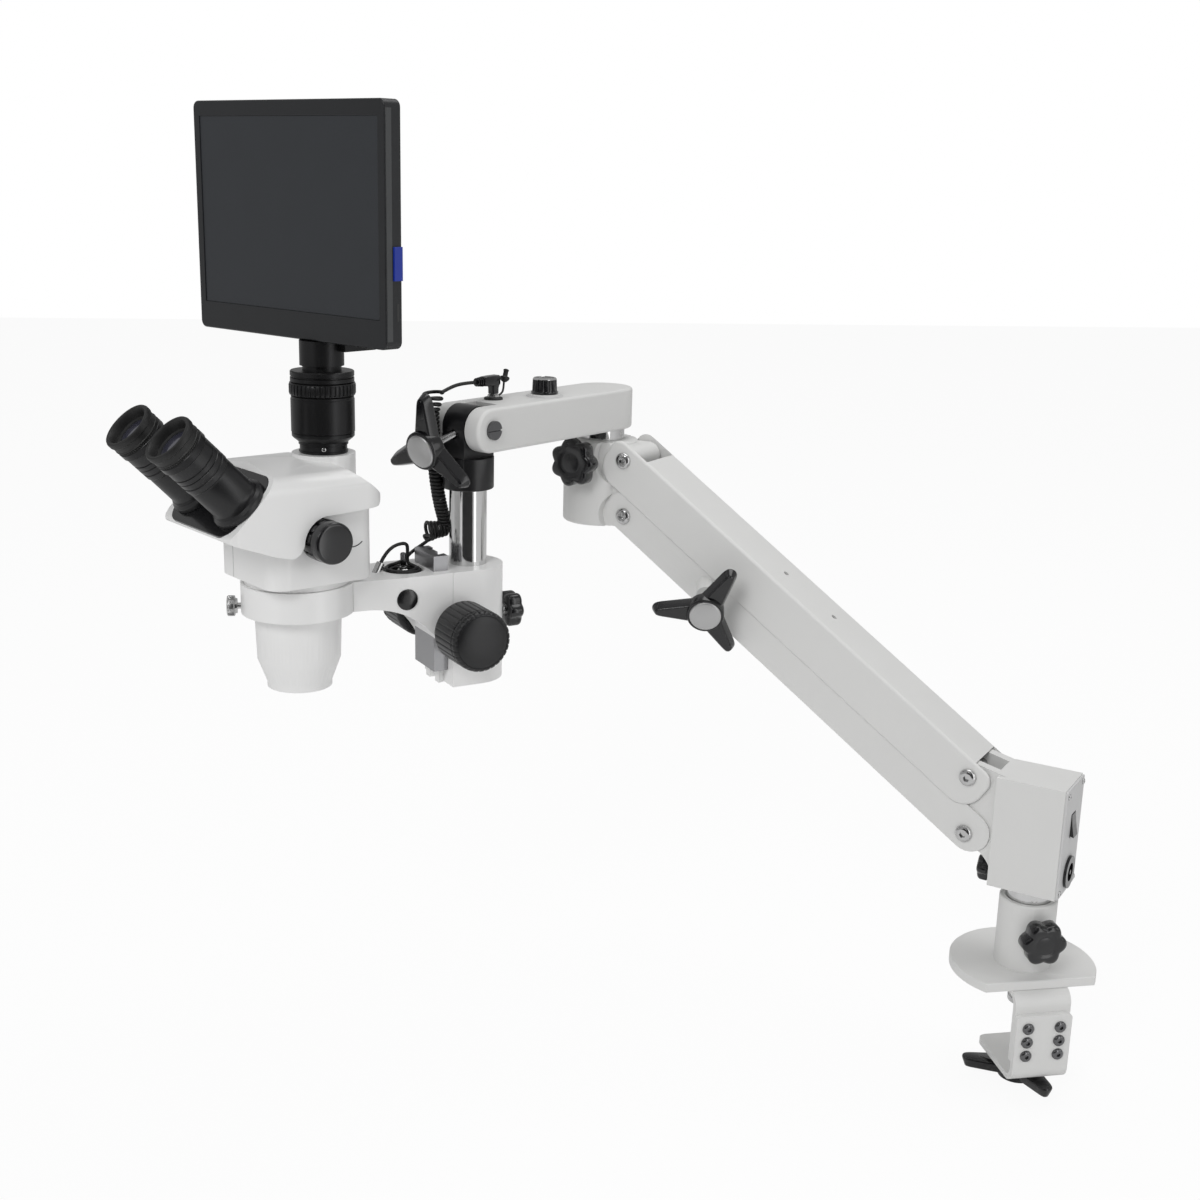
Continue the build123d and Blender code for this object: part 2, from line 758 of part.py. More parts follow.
# Parallel arm, in the frame of each link: X to the elbow, Z away from the other link's side
cover_inner = cover_half_width - sheet
cover_end = arm_length + link_overhang
with BuildPart() as upper_arm_cover:
    with BuildSketch(Plane.XZ) as cover_side:
        Polygon(
            (-link_overhang, -cover_drop), (cover_end, -cover_drop), (cover_end, cover_top),
            (-link_overhang, cover_top), align=None,
        )
        fillet(cover_side.vertices().group_by(Axis.Y)[-1], cover_top_corner)
        fillet(cover_side.vertices().group_by(Axis.Y)[0], cover_bottom_corner)
    extrude(amount=cover_half_width, both=True)
    fillet(upper_arm_cover.edges().filter_by(Axis.X).group_by(Axis.Z)[-1], cover_edge)
    with BuildSketch(Plane.YZ.offset(-link_overhang - 1)):
        Polygon(
            (-cover_inner, -cover_drop - 1), (cover_inner, -cover_drop - 1), (cover_inner, cover_top - sheet),
            (-cover_inner, cover_top - sheet), align=None,
        )
    extrude(amount=arm_length + 2 * link_overhang + 2, mode=Mode.SUBTRACT)
    with BuildSketch(Plane.XY.offset(cover_top - cover_top_corner)):
        with Locations((cover_open_near, 0)):
            Rectangle(2 * link_overhang, 2 * cover_inner, align=(Align.MAX, Align.CENTER))
        with Locations((arm_length - cover_open_far, 0)):
            Rectangle(3 * link_overhang, 2 * cover_inner, align=(Align.MIN, Align.CENTER))
    extrude(amount=cover_top_corner + 1, mode=Mode.SUBTRACT)
    with BuildSketch(Plane.XZ.offset(-cover_half_width - 1)):
        with Locations((0, 0), (arm_length, 0)):
            Circle(axle_radius + running_fit)
    extrude(amount=2 * cover_half_width + 2, mode=Mode.SUBTRACT)
    with BuildSketch(Plane.XY.offset(cover_top - sheet - 1)):
        with Locations((arm_length * 0.43, 0), (arm_length * 0.57, 0)):
            Circle(cover_hole_radius)
    extrude(amount=sheet + 2, mode=Mode.SUBTRACT)
keep(upper_arm_cover, "upper_arm_cover", upper_link)

channel_inner = channel_half_width - sheet
boss_turn = math.radians(arm_lock_slant)
boss_out = (-math.sin(boss_turn), math.cos(boss_turn), 0)
boss_root = (arm_length - arm_lock_from_elbow, channel_half_width, arm_lock_lift)
boss_plane = seat_in(Plane.XY, boss_root, boss_out)
with BuildPart() as lower_arm_channel:
    with BuildSketch(Plane.XZ):
        with Locations((arm_length / 2, channel_top - channel_end_radius)):
            SlotCenterToCenter(arm_length + channel_top - channel_end_radius, 2 * channel_end_radius)
    extrude(amount=channel_half_width, both=True)
    with BuildSketch(boss_plane.offset(-arm_lock_boss)):
        Circle(arm_lock_boss_radius)
    extrude(amount=2 * arm_lock_boss)
    with BuildSketch(Plane.XY.offset(sheet - channel_bottom)):
        with Locations((arm_length / 2, 0)):
            Rectangle(2 * arm_length, 2 * channel_inner)
    extrude(amount=2 * channel_top, mode=Mode.SUBTRACT)
    with BuildSketch(Plane.XY.offset(-channel_bottom - 1)):
        with Locations((channel_open, 0)):
            Rectangle(2 * channel_top, 2 * channel_inner, align=(Align.MAX, Align.CENTER))
        with Locations((arm_length - channel_open, 0)):
            Rectangle(2 * channel_top, 2 * channel_inner, align=(Align.MIN, Align.CENTER))
    extrude(amount=2 * channel_bottom, mode=Mode.SUBTRACT)
    with BuildSketch(Plane.XZ.offset(-channel_half_width - 1)):
        with Locations((0, 0), (arm_length, 0)):
            Circle(axle_radius + running_fit)
    extrude(amount=2 * channel_half_width + 2, mode=Mode.SUBTRACT)
    with BuildSketch(boss_plane.offset(arm_lock_boss + 1)):
        Circle(stud_radius + running_fit)
    extrude(amount=-2 * arm_lock_boss, mode=Mode.SUBTRACT)
keep(lower_arm_channel, "lower_arm_channel", lower_link)

boss_seat = Plane(lower_link.location * boss_plane.offset(arm_lock_boss).location)
star_handle("arm_lock_handle", boss_seat, 22, arm_lock_boss, stud_radius, 9, 22 - face_gap, 65)

tube_root = (gas_tube_start, 0, -gas_line)
with BuildPart() as gas_spring_tube:
    with BuildSketch(Plane(origin=tube_root, x_dir=(0, 1, 0), z_dir=(1, 0, 0))) as tube_end:
        Circle(gas_tube_radius)
    extrude(amount=gas_tube_length)
    chamfer(gas_spring_tube.faces().filter_by(Axis.X).edges(), 1)
    with BuildSketch(Plane.XY.offset(-gas_line)):
        with Locations((gas_tube_start + gas_tube_length - gas_lug_length, 0)):
            Rectangle(gas_lug_length, 2 * gas_lug_half_width)
    extrude(amount=gas_line + cover_top - sheet)
    with BuildSketch(Plane(origin=tube_root, x_dir=(0, 1, 0), z_dir=(1, 0, 0))):
        Circle(gas_rod_radius + running_fit)
    extrude(amount=gas_tube_bore, mode=Mode.SUBTRACT)
keep(gas_spring_tube, "gas_spring_tube", upper_link)

eye_reach = -gas_anchor_drop * math.sin(rise)
eye_bore_radius = gas_pin_radius + gas_eye_slack
with BuildPart() as gas_spring_rod:
    with BuildSketch(Plane.XZ):
        with Locations((eye_reach, -gas_line)):
            Circle(eye_bore_radius + gas_eye_wall)
    extrude(amount=gas_eye_half_width, both=True)
    with BuildSketch(Plane(origin=(eye_reach, 0, -gas_line), x_dir=(0, 1, 0), z_dir=(1, 0, 0))):
        Circle(gas_rod_radius)
    extrude(amount=gas_rod_reach - eye_reach)
    with BuildSketch(Plane.XZ):
        with Locations((eye_reach, -gas_line)):
            Circle(eye_bore_radius)
    extrude(amount=2 * gas_eye_half_width, both=True, mode=Mode.SUBTRACT)
keep(gas_spring_rod, "gas_spring_rod", upper_link)

# Elbow
elbow_low_z = elbow_pivot_z - pivot_spacing
with BuildPart() as elbow_casting:
    with BuildSketch(Plane.XY.offset(elbow_bottom)):
        Circle(elbow_radius)
    extrude(amount=elbow_height)
    fillet(elbow_casting.edges().filter_by(GeomType.CIRCLE), 3)
    for side in (-1, 1):
        with BuildSketch(Plane.XZ.offset(-side * (channel_inner - face_gap))):
            with Locations((-elbow_reach, elbow_low_z)):
                Circle(channel_scoop)
        extrude(amount=-side * elbow_radius, mode=Mode.SUBTRACT)
        with BuildSketch(Plane.XZ.offset(-side * (cover_inner - face_gap))):
            with Locations((-elbow_reach, elbow_pivot_z)):
                Circle(cover_scoop)
        extrude(amount=-side * elbow_radius, mode=Mode.SUBTRACT)
    with BuildSketch(Plane.XZ) as elbow_ear:
        Polygon(
            (-elbow_reach - ear_radius, elbow_low_z - ear_radius), (-elbow_reach / 4, elbow_low_z - ear_radius),
            (-elbow_reach / 4, elbow_pivot_z + ear_radius), (-elbow_reach - ear_radius, elbow_pivot_z + ear_radius),
            align=None,
        )
        fillet(elbow_ear.vertices().group_by(Axis.X)[0], ear_radius - 0.1)
    extrude(amount=ear_half_width, both=True)
    with BuildSketch(Plane.XZ.offset(-ear_half_width)):
        with Locations((-elbow_reach, elbow_pivot_z), (-elbow_reach, elbow_low_z)):
            Circle(axle_radius + running_fit)
    extrude(amount=2 * ear_half_width, mode=Mode.SUBTRACT)
    with BuildSketch(Plane.XY.offset(elbow_top)):
        Circle(post_radius + running_fit)
    extrude(amount=-post_reach, mode=Mode.SUBTRACT)
    with BuildSketch(Plane.XZ.offset(-elbow_radius)):
        with Locations((0, elbow_pivot_z + elbow_knob_drop)):
            Circle(stud_radius + running_fit)
    extrude(amount=elbow_radius, mode=Mode.SUBTRACT)
keep(elbow_casting, "elbow_casting", elbow)

with BuildPart() as elbow_axles:
    with BuildSketch(Plane.XZ.offset(-cover_half_width - side_gap)):
        with Locations((-elbow_reach, elbow_pivot_z), (-elbow_reach, elbow_low_z)):
            Circle(axle_radius)
    extrude(amount=2 * (cover_half_width + side_gap))
    for side in (-1, 1):
        with BuildSketch(Plane.XZ.offset(-side * (cover_half_width + side_gap))):
            with Locations((-elbow_reach, elbow_pivot_z)):
                Circle(axle_head_radius)
        extrude(amount=-side * axle_head_height)
        with BuildSketch(Plane.XZ.offset(-side * (channel_half_width + side_gap))):
            with Locations((-elbow_reach, elbow_low_z)):
                Circle(axle_head_radius)
        extrude(amount=-side * axle_head_height)
        with BuildSketch(Plane.XZ.offset(-side * ear_half_width)):
            with Locations((-elbow_reach, elbow_pivot_z)):
                Circle(spacer_radius)
        extrude(amount=-side * (cover_half_width - sheet - side_gap - ear_half_width))
keep(elbow_axles, "elbow_axles", elbow)

elbow_knob_seat = seat_around(elbow, 90, elbow_radius, elbow_pivot_z + elbow_knob_drop)
lobed_knob("elbow_lock_knob", elbow_knob_seat, 7, 20.5, 15.5, 5, elbow_radius - post_radius - face_gap)

# Beam with its post, fork pin, socket and plug
with BuildPart() as swivel_post:
    with BuildSketch(Plane.XY.offset(elbow_top - post_reach + face_gap)):
        Circle(post_radius)
    extrude(amount=beam_bottom - elbow_top + post_reach - face_gap)
    chamfer(swivel_post.faces().sort_by(Axis.Z)[0].edges(), 1)
keep(swivel_post, "swivel_post", beam_frame)

beam_end = beam_length + beam_height / 2
with BuildPart() as beam:
    with BuildSketch(Plane.XY.offset(beam_bottom)):
        Circle(beam_half_width)
        Rectangle(beam_end, 2 * beam_half_width, align=(Align.MIN, Align.CENTER))
    extrude(amount=beam_height)
    fillet(beam.faces().sort_by(Axis.X)[-1].edges().filter_by(Axis.Y), beam_height / 2 - 0.1)
    fillet(beam.faces().filter_by(Axis.Z).edges().filter_by(GeomType.CIRCLE), 3)
    with BuildSketch(Plane.XY.offset(beam_bottom)):
        with Locations((beam_length - fork_depth, 0)):
            Rectangle(2 * fork_depth, 2 * fork_half_gap, align=(Align.MIN, Align.CENTER))
    extrude(amount=beam_height, mode=Mode.SUBTRACT)
    with BuildSketch(Plane.XZ.offset(-beam_half_width)):
        with Locations((beam_length, pin_z)):
            Circle(pin_radius + running_fit)
    extrude(amount=2 * beam_half_width, mode=Mode.SUBTRACT)
    with BuildSketch(Plane.XY.offset(beam_top)):
        with Locations((beam_length - dimmer_from_pin, dimmer_offset)):
            Circle(dimmer_base_radius)
    extrude(amount=dimmer_base)
    with BuildSketch(Plane.XY.offset(beam_top + dimmer_base)):
        with Locations((beam_length - dimmer_from_pin, dimmer_offset)):
            Circle(dimmer_shaft_radius + running_fit)
    extrude(amount=-dimmer_shaft_reach, mode=Mode.SUBTRACT)
keep(beam, "beam", beam_frame)

with BuildPart() as fork_pin:
    with BuildSketch(Plane.XZ.offset(beam_half_width)):
        with Locations((beam_length, pin_z)):
            Circle(pin_radius)
    extrude(amount=-2 * beam_half_width)
    with BuildSketch(Plane.XZ.offset(-beam_half_width)):
        with Locations((beam_length, pin_z)):
            Circle(pin_head_radius)
    extrude(amount=-pin_head_height)
    with BuildSketch(Plane.XZ.offset(-beam_half_width - pin_head_height)):
        with Locations((beam_length, pin_z)):
            Rectangle(2 * pin_head_radius, pin_slot)
    extrude(amount=pin_slot, mode=Mode.SUBTRACT)
keep(fork_pin, "fork_pin", beam_frame)

socket_x = beam_length - socket_from_pin
with BuildPart() as power_socket:
    with BuildSketch(Plane.XY.offset(beam_top)):
        with Locations((socket_x, -socket_offset)):
            Circle(socket_radius)
    extrude(amount=socket_flange)
    with BuildSketch(Plane.XY.offset(beam_top + socket_flange)):
        with Locations((socket_x, -socket_offset)):
            Circle(socket_nut_radius)
    extrude(amount=socket_nut)
keep(power_socket, "power_socket", beam_frame)

plug_bottom = beam_top + socket_flange + socket_nut
plug_axis_z = plug_bottom + plug_stem + plug_radius
with BuildPart() as dc_plug:
    with BuildSketch(Plane.XY.offset(plug_bottom)):
        with Locations((socket_x, -socket_offset)):
            Circle(plug_radius)
    extrude(amount=plug_stem + 2 * plug_radius)
    with BuildSketch(Plane(origin=(socket_x, -socket_offset, plug_axis_z), x_dir=(0, 1, 0), z_dir=(1, 0, 0))):
        Circle(plug_radius - 0.5)
    extrude(amount=plug_body)
    with BuildSketch(
        Plane(origin=(socket_x + plug_body, -socket_offset, plug_axis_z), x_dir=(0, 1, 0), z_dir=(1, 0, 0))
    ):
        Circle(plug_relief_radius)
    extrude(amount=plug_relief)
keep(dc_plug, "dc_plug", beam_frame)

with BuildPart() as dimmer_knob:
    with BuildSketch(Plane.XY.offset(beam_top + dimmer_base + face_gap)):
        with Locations((beam_length - dimmer_from_pin, dimmer_offset)):
            Circle(dimmer_radius)
    extrude(amount=dimmer_height)
    chamfer(dimmer_knob.faces().sort_by(Axis.Z)[-1].edges(), 1)
    with BuildSketch(Plane.XY.offset(beam_top + dimmer_base - dimmer_shaft_reach + face_gap)):
        with Locations((beam_length - dimmer_from_pin, dimmer_offset)):
            Circle(dimmer_shaft_radius)
    extrude(amount=dimmer_shaft_reach)
keep(dimmer_knob, "dimmer_knob", beam_frame)

# Knuckle and pole
droop = math.radians(handle_droop)
knuckle_seat = seat_in(
    knuckle_frame,
    (tongue_radius * math.cos(droop), 0, pin_z - tongue_radius * math.sin(droop)),
    (math.cos(droop), 0, -math.sin(droop)),
)
knuckle_local = seat_in(
    Plane.XY,
    (tongue_radius * math.cos(droop), 0, pin_z - tongue_radius * math.sin(droop)),
    (math.cos(droop), 0, -math.sin(droop)),
)
with BuildPart() as knuckle:
    with BuildSketch(Plane.XZ):
        with Locations((0, pin_z)):
            Circle(tongue_radius)
        with Locations((0, pin_z)):
            Rectangle(2 * tongue_radius, knuckle_ring_top + 2, align=(Align.CENTER, Align.MAX))
    extrude(amount=tongue_half_width, both=True)
    with BuildSketch(Plane.XY.offset(pin_z - knuckle_ring_bottom)):
        Circle(knuckle_radius)
    extrude(amount=knuckle_ring_bottom - knuckle_ring_top)
    fillet(knuckle.edges().filter_by(GeomType.CIRCLE).group_by(Axis.Z)[0], 1.5)
    with BuildSketch(Plane.XZ.offset(-tongue_half_width)):
        with Locations((0, pin_z)):
            Circle(pin_radius + running_fit)
    extrude(amount=2 * tongue_half_width, mode=Mode.SUBTRACT)
    with BuildSketch(Plane.XY.offset(pin_z - knuckle_ring_bottom)):
        Circle(pole_radius + running_fit)
    extrude(amount=knuckle_ring_bottom - pole_top + face_gap, mode=Mode.SUBTRACT)
    with BuildSketch(knuckle_local.offset(3)):
        Circle(stud_radius + running_fit)
    extrude(amount=-tongue_radius + pin_radius - 1, mode=Mode.SUBTRACT)
keep(knuckle, "knuckle", knuckle_frame)
star_handle(
    "knuckle_handle", knuckle_seat, handle_stand_off, tongue_radius - pin_radius - 2, stud_radius, 8,
    handle_stand_off - handle_sleeve_gap, 82,
)

with BuildPart() as pole:
    with BuildSketch(Plane.XY.offset(pole_bottom)):
        Circle(pole_radius)
    extrude(amount=pin_z - pole_top - pole_bottom)
    chamfer(pole.edges().filter_by(GeomType.CIRCLE), 1)
keep(pole, "pole", carrier)

# Focusing carrier
pitch_radius = pinion_teeth * gear_module / 2
tooth_pitch = math.pi * gear_module
tooth_tip = gear_module
tooth_root = 1.25 * gear_module
tooth_half = tooth_pitch / 4 - tooth_backlash / 2
tip_half = tooth_half - tooth_tip * math.tan(math.radians(20))
root_half = tooth_half + tooth_root * math.tan(math.radians(20))
pinion_tip = pitch_radius + tooth_tip
pinion_root = pitch_radius - tooth_root
rack_line = pinion_reach + pitch_radius
rail_front = collar_front + rail_depth
arm_back = collar_front + face_gap

with BuildPart() as collar:
    with BuildSketch(Plane.XY.offset(carrier_bottom)):
        Circle(collar_half_width)
        Rectangle(collar_half_width, 2 * collar_half_width, align=(Align.MIN, Align.CENTER), mode=Mode.SUBTRACT)
        Rectangle(collar_front, 2 * collar_half_width, align=(Align.MIN, Align.CENTER))
        for side in (-1, 1):
            Polygon(
                (collar_front, side * gear_slot_half_width), (rail_front, side * gear_slot_half_width),
                (rail_front, side * rail_tip_half_width), (collar_front, side * rail_root_half_width), align=None,
            )
    extrude(amount=collar_height)
    with BuildSketch(Plane.XZ.offset(-bearing_reach)):
        with Locations((pinion_reach - bearing_set_back, shaft_z)):
            Circle(bearing_radius)
    extrude(amount=2 * bearing_reach)
    with BuildSketch(Plane.XY.offset(carrier_bottom)):
        Circle(pole_radius + running_fit)
    extrude(amount=collar_height, mode=Mode.SUBTRACT)
    with BuildSketch(Plane.XZ.offset(-bearing_reach)):
        with Locations((pinion_reach, shaft_z)):
            Circle(shaft_radius + running_fit)
    extrude(amount=2 * bearing_reach, mode=Mode.SUBTRACT)
    with BuildSketch(Plane.XZ.offset(-gear_slot_half_width)):
        with Locations((pinion_reach, shaft_z)):
            Circle(pinion_tip + face_gap)
    extrude(amount=2 * gear_slot_half_width, mode=Mode.SUBTRACT)
    with BuildSketch(Plane.YZ.offset(-collar_half_width)):
        with Locations((0, carrier_top - collar_knob_below_top)):
            Circle(stud_radius + running_fit)
    extrude(amount=collar_half_width, mode=Mode.SUBTRACT)
keep(collar, "collar", carrier)

collar_knob_seat = seat_in(carrier, (-collar_half_width, 0, carrier_top - collar_knob_below_top), (-1, 0, 0))
lobed_knob("collar_lock_knob", collar_knob_seat, 6, 16, 14, 4.5, collar_half_width - pole_radius - face_gap)

with BuildPart() as pinion_shaft:
    with BuildSketch(Plane.XZ.offset(-pinion_half_width)):
        with Locations((pinion_reach, shaft_z)):
            Circle(pinion_root + 0.1)
            with PolarLocations(0, pinion_teeth):
                Polygon(
                    (pinion_root - 0.3, -root_half), (pitch_radius + tooth_tip - 0.1, -tip_half),
                    (pitch_radius + tooth_tip - 0.1, tip_half), (pinion_root - 0.3, root_half), align=None,
                )
    extrude(amount=2 * pinion_half_width)
    with BuildSketch(Plane.XZ.offset(-focus_knob_face + focus_knob_wall)):
        with Locations((pinion_reach, shaft_z)):
            Circle(shaft_radius)
    extrude(amount=2 * (focus_knob_face - focus_knob_wall))
keep(pinion_shaft, "pinion_shaft", carrier)

with BuildPart() as focus_knobs:
    for side in (-1, 1):
        with BuildSketch(Plane.XZ.offset(-side * (focus_knob_face - focus_knob_length))):
            with Locations((pinion_reach, shaft_z)):
                Circle(focus_knob_radius)
        extrude(amount=-side * focus_knob_length)
    fillet(focus_knobs.faces().filter_by(Axis.Y).group_by(Axis.Y)[0].edges(), 3)
    fillet(focus_knobs.faces().filter_by(Axis.Y).group_by(Axis.Y)[-1].edges(), 3)
    with BuildSketch(Plane.XZ.offset(-focus_knob_face + focus_knob_wall)):
        with Locations((pinion_reach, shaft_z)):
            Circle(shaft_radius)
    extrude(amount=2 * (focus_knob_face - focus_knob_wall), mode=Mode.SUBTRACT)
keep(focus_knobs, "focus_knobs", carrier)

slide_bottom = carrier_bottom + slide_lift
rack_teeth = [
    slide_bottom + tooth_pitch + place * tooth_pitch for place in range(int(collar_height / tooth_pitch) - 2)
]
rack_shift = (shaft_z - rack_teeth[0]) % tooth_pitch - tooth_pitch / 2
with BuildPart() as focus_slide:
    with BuildSketch(Plane.XY.offset(slide_bottom)):
        with Locations(((arm_back + slide_front) / 2, 0)):
            Rectangle(slide_front - arm_back, 2 * slide_half_width)
        Polygon(
            (arm_back, -rail_root_half_width - face_gap), (rail_front + face_gap, -rail_tip_half_width - face_gap),
            (rail_front + face_gap, rail_tip_half_width + face_gap), (arm_back, rail_root_half_width + face_gap),
            align=None, mode=Mode.SUBTRACT,
        )
        with Locations((rack_line + tooth_root, 0)):
            Rectangle(rail_front - rack_line, 2 * pinion_half_width, align=(Align.MIN, Align.CENTER))
    extrude(amount=collar_height)
    with BuildSketch(Plane.XZ.offset(-pinion_half_width)):
        with Locations(*[(rack_line, height + rack_shift) for height in rack_teeth]):
            Polygon(
                (-tooth_tip + 0.1, -tip_half), (tooth_root + 0.1, -root_half), (tooth_root + 0.1, root_half),
                (-tooth_tip + 0.1, tip_half), align=None,
            )
    extrude(amount=2 * pinion_half_width)
keep(focus_slide, "focus_slide", carrier)

arm_underside = carrier_top - ring_height
arm_waist = ring_reach - ring_radius
with BuildPart() as ring_arm:
    with BuildSketch(Plane.XZ):
        with BuildLine():
            Line((arm_back, carrier_top), (ring_reach - ring_bore_radius, carrier_top))
            Line((ring_reach - ring_bore_radius, carrier_top), (ring_reach - ring_bore_radius, arm_underside))
            Line((ring_reach - ring_bore_radius, arm_underside), (arm_waist - 3, arm_underside))
            ThreePointArc(
                (arm_waist - 3, arm_underside), (arm_recess_reach, carrier_top - arm_recess_drop),
                (arm_back + 5, carrier_top - ring_arm_height),
            )
            Line((arm_back + 5, carrier_top - ring_arm_height), (arm_back, carrier_top - ring_arm_height))
            Line((arm_back, carrier_top - ring_arm_height), (arm_back, carrier_top))
        make_face()
    extrude(amount=collar_half_width, both=True)
    with BuildSketch(Plane.XY.offset(carrier_top - ring_arm_height)) as arm_plan:
        Polygon(
            (arm_back, -collar_half_width), (arm_shoulder, -collar_half_width), (ring_reach - 20, -ring_arm_neck),
            (ring_reach - 20, ring_arm_neck), (arm_shoulder, collar_half_width), (arm_back, collar_half_width),
            align=None,
        )
        fillet(arm_plan.vertices().group_by(Axis.X)[1], 25)
    extrude(amount=ring_arm_height, mode=Mode.INTERSECT)
    with BuildSketch(Plane.XY.offset(arm_underside)):
        with Locations((ring_reach, 0)):
            Circle(ring_radius)
    extrude(amount=ring_height)
    with BuildSketch(Plane.XY.offset(arm_underside)):
        with Locations((ring_reach, 0)):
            Circle(ring_bore_radius)
    extrude(amount=ring_height, mode=Mode.SUBTRACT)
    with BuildSketch(Plane.XY.offset(carrier_top - ring_arm_height)):
        Rectangle(slide_front, 2 * (slide_half_width + side_gap), align=(Align.MIN, Align.CENTER))
    extrude(amount=ring_arm_height, mode=Mode.SUBTRACT)
    with BuildSketch(Plane.XY.offset(carrier_top)):
        with Locations((pocket_reach, 0)):
            Circle(pocket_radius)
    extrude(amount=-pocket_depth, mode=Mode.SUBTRACT)
    ring_local = Plane(origin=(ring_reach, 0, 0))
    thumb_local = seat_around(ring_local, thumb_angle, ring_radius, carrier_top - thumb_drop)
    with BuildSketch(thumb_local.offset(2)):
        Circle(thumb_stud_radius + running_fit)
    extrude(amount=ring_bore_radius - ring_radius - 4, mode=Mode.SUBTRACT)
keep(ring_arm, "ring_arm", carrier)

pocket_floor = carrier_top - pocket_depth
tail_turn = Vector(pocket_reach + tail_turn_past, -tail_turn_aside, carrier_top + tail_turn_rise)
gland_foot = Vector(gland_reach, 0, carrier_top)
gland_out = (tail_turn - gland_foot).normalized()
gland_face = gland_foot + gland_out * gland_length
with BuildPart() as arm_fittings:
    with BuildSketch(Plane.XY.offset(pocket_floor)):
        with Locations((pocket_reach, 0)):
            Circle(bush_radius)
    extrude(amount=bush_height)
    with BuildSketch(Plane.XY.offset(pocket_floor + bush_height)):
        with Locations((pocket_reach, 0)):
            Circle(bush_bore_radius)
    extrude(amount=-bush_bore, mode=Mode.SUBTRACT)
    with BuildSketch(Plane(origin=gland_face, z_dir=gland_out)):
        Circle(gland_radius)
    extrude(amount=-2 * gland_length)
    with BuildSketch(Plane.XY.offset(pocket_floor)):
        with Locations((gland_reach, 0)):
            Rectangle(6 * gland_radius, 3 * gland_radius)
    extrude(amount=pocket_depth, mode=Mode.SUBTRACT)
keep(arm_fittings, "arm_fittings", carrier)

with BuildPart() as toggle_lever:
    with BuildSketch(Plane.XY.offset(pocket_floor + bush_height - bush_bore + face_gap)):
        with Locations((pocket_reach, 0)):
            Circle(lever_radius)
    extrude(amount=lever_length, taper=-1.5)
keep(toggle_lever, "toggle_lever", carrier)

ring_frame = turned(ring_foot, carrier_yaw)
thumb_seat = seat_around(ring_frame, thumb_angle, ring_radius, carrier_top - thumb_drop)
with BuildPart() as ring_thumb_screw:
    with BuildSketch(Plane.XY.offset(ring_bore_radius - ring_radius + 1)):
        Circle(thumb_stud_radius)
    extrude(amount=ring_radius - ring_bore_radius - 1 + thumb_gap)
    with BuildSketch(Plane.XY.offset(thumb_gap)):
        Circle(thumb_radius)
    extrude(amount=thumb_length)
    chamfer(ring_thumb_screw.faces().sort_by(Axis.Z)[-1].edges(), 0.8)
keep(ring_thumb_screw, "ring_thumb_screw", thumb_seat)

# Microscope head, in its own frame with heights from the top of the ring
head_seat = Plane(head.location * Location((0, 0, carrier_top)))


def seam():
    """The line in which the shell sits on the zoom body, drawn in the line that is open."""
    low = (seam_front, seam_low)
    middle = (seam_front - seam_step, seam_middle)
    high = (seam_front - seam_run, seam_high)
    low_bulge = (seam_front - seam_low_reach * seam_step, seam_low + seam_low_rise * (seam_middle - seam_low))
    high_bulge = (
        seam_front - seam_step - seam_high_reach * (seam_run - seam_step),
        seam_middle + seam_high_rise * (seam_high - seam_middle),
    )
    Line((body_front, seam_front_height), low)
    ThreePointArc(low, low_bulge, middle)
    ThreePointArc(middle, high_bulge, high)
    Line(high, (-body_back, seam_rear_height))


with BuildPart() as zoom_body:
    with BuildSketch(Plane.XZ):
        with BuildLine():
            seam()
            Polyline(
                (-body_back, seam_rear_height), (-body_back, flange_height), (body_front, flange_height),
                (body_front, seam_front_height),
            )
        make_face()
    extrude(amount=body_half_width, both=True)
    with BuildSketch(Plane.XY) as body_plan:
        Rectangle(body_front + body_back, 2 * body_half_width)
        fillet(body_plan.vertices(), body_corner)
    extrude(amount=2 * flange_radius, mode=Mode.INTERSECT)
    with BuildSketch(Plane.XZ):
        Polygon(
            (0, -nose_tip_drop), (nose_rim_radius, -nose_tip_drop), (nose_rim_radius, -nose_cone_drop),
            (nose_waist_radius, -nose_waist_drop), (nose_radius, -ring_height - 2),
            (ring_bore_radius - running_fit, -ring_height), (ring_bore_radius - running_fit, head_gap),
            (flange_radius, head_gap), (flange_radius, flange_height), (0, flange_height), align=None,
        )
    revolve(axis=Axis.Z)
    with BuildSketch(Plane.XY.offset(-nose_tip_drop)):
        Circle(lens_radius + running_fit)
    extrude(amount=lens_seat, mode=Mode.SUBTRACT)
    with BuildSketch(Plane.XZ.offset(-body_half_width)):
        with Locations((zoom_knob_reach, zoom_knob_height)):
            Circle(zoom_stub_radius + running_fit)
    extrude(amount=2 * body_half_width, mode=Mode.SUBTRACT)
keep(zoom_body, "zoom_body", head_seat)

with BuildPart() as objective_lens:
    with BuildSketch(Plane.XY.offset(lens_drop - nose_tip_drop)):
        Circle(lens_radius)
    extrude(amount=lens_seat - lens_drop)
    with Locations((0, 0, lens_drop + lens_curve - nose_tip_drop)):
        Sphere(lens_curve, mode=Mode.INTERSECT)
keep(objective_lens, "objective_lens", head_seat)

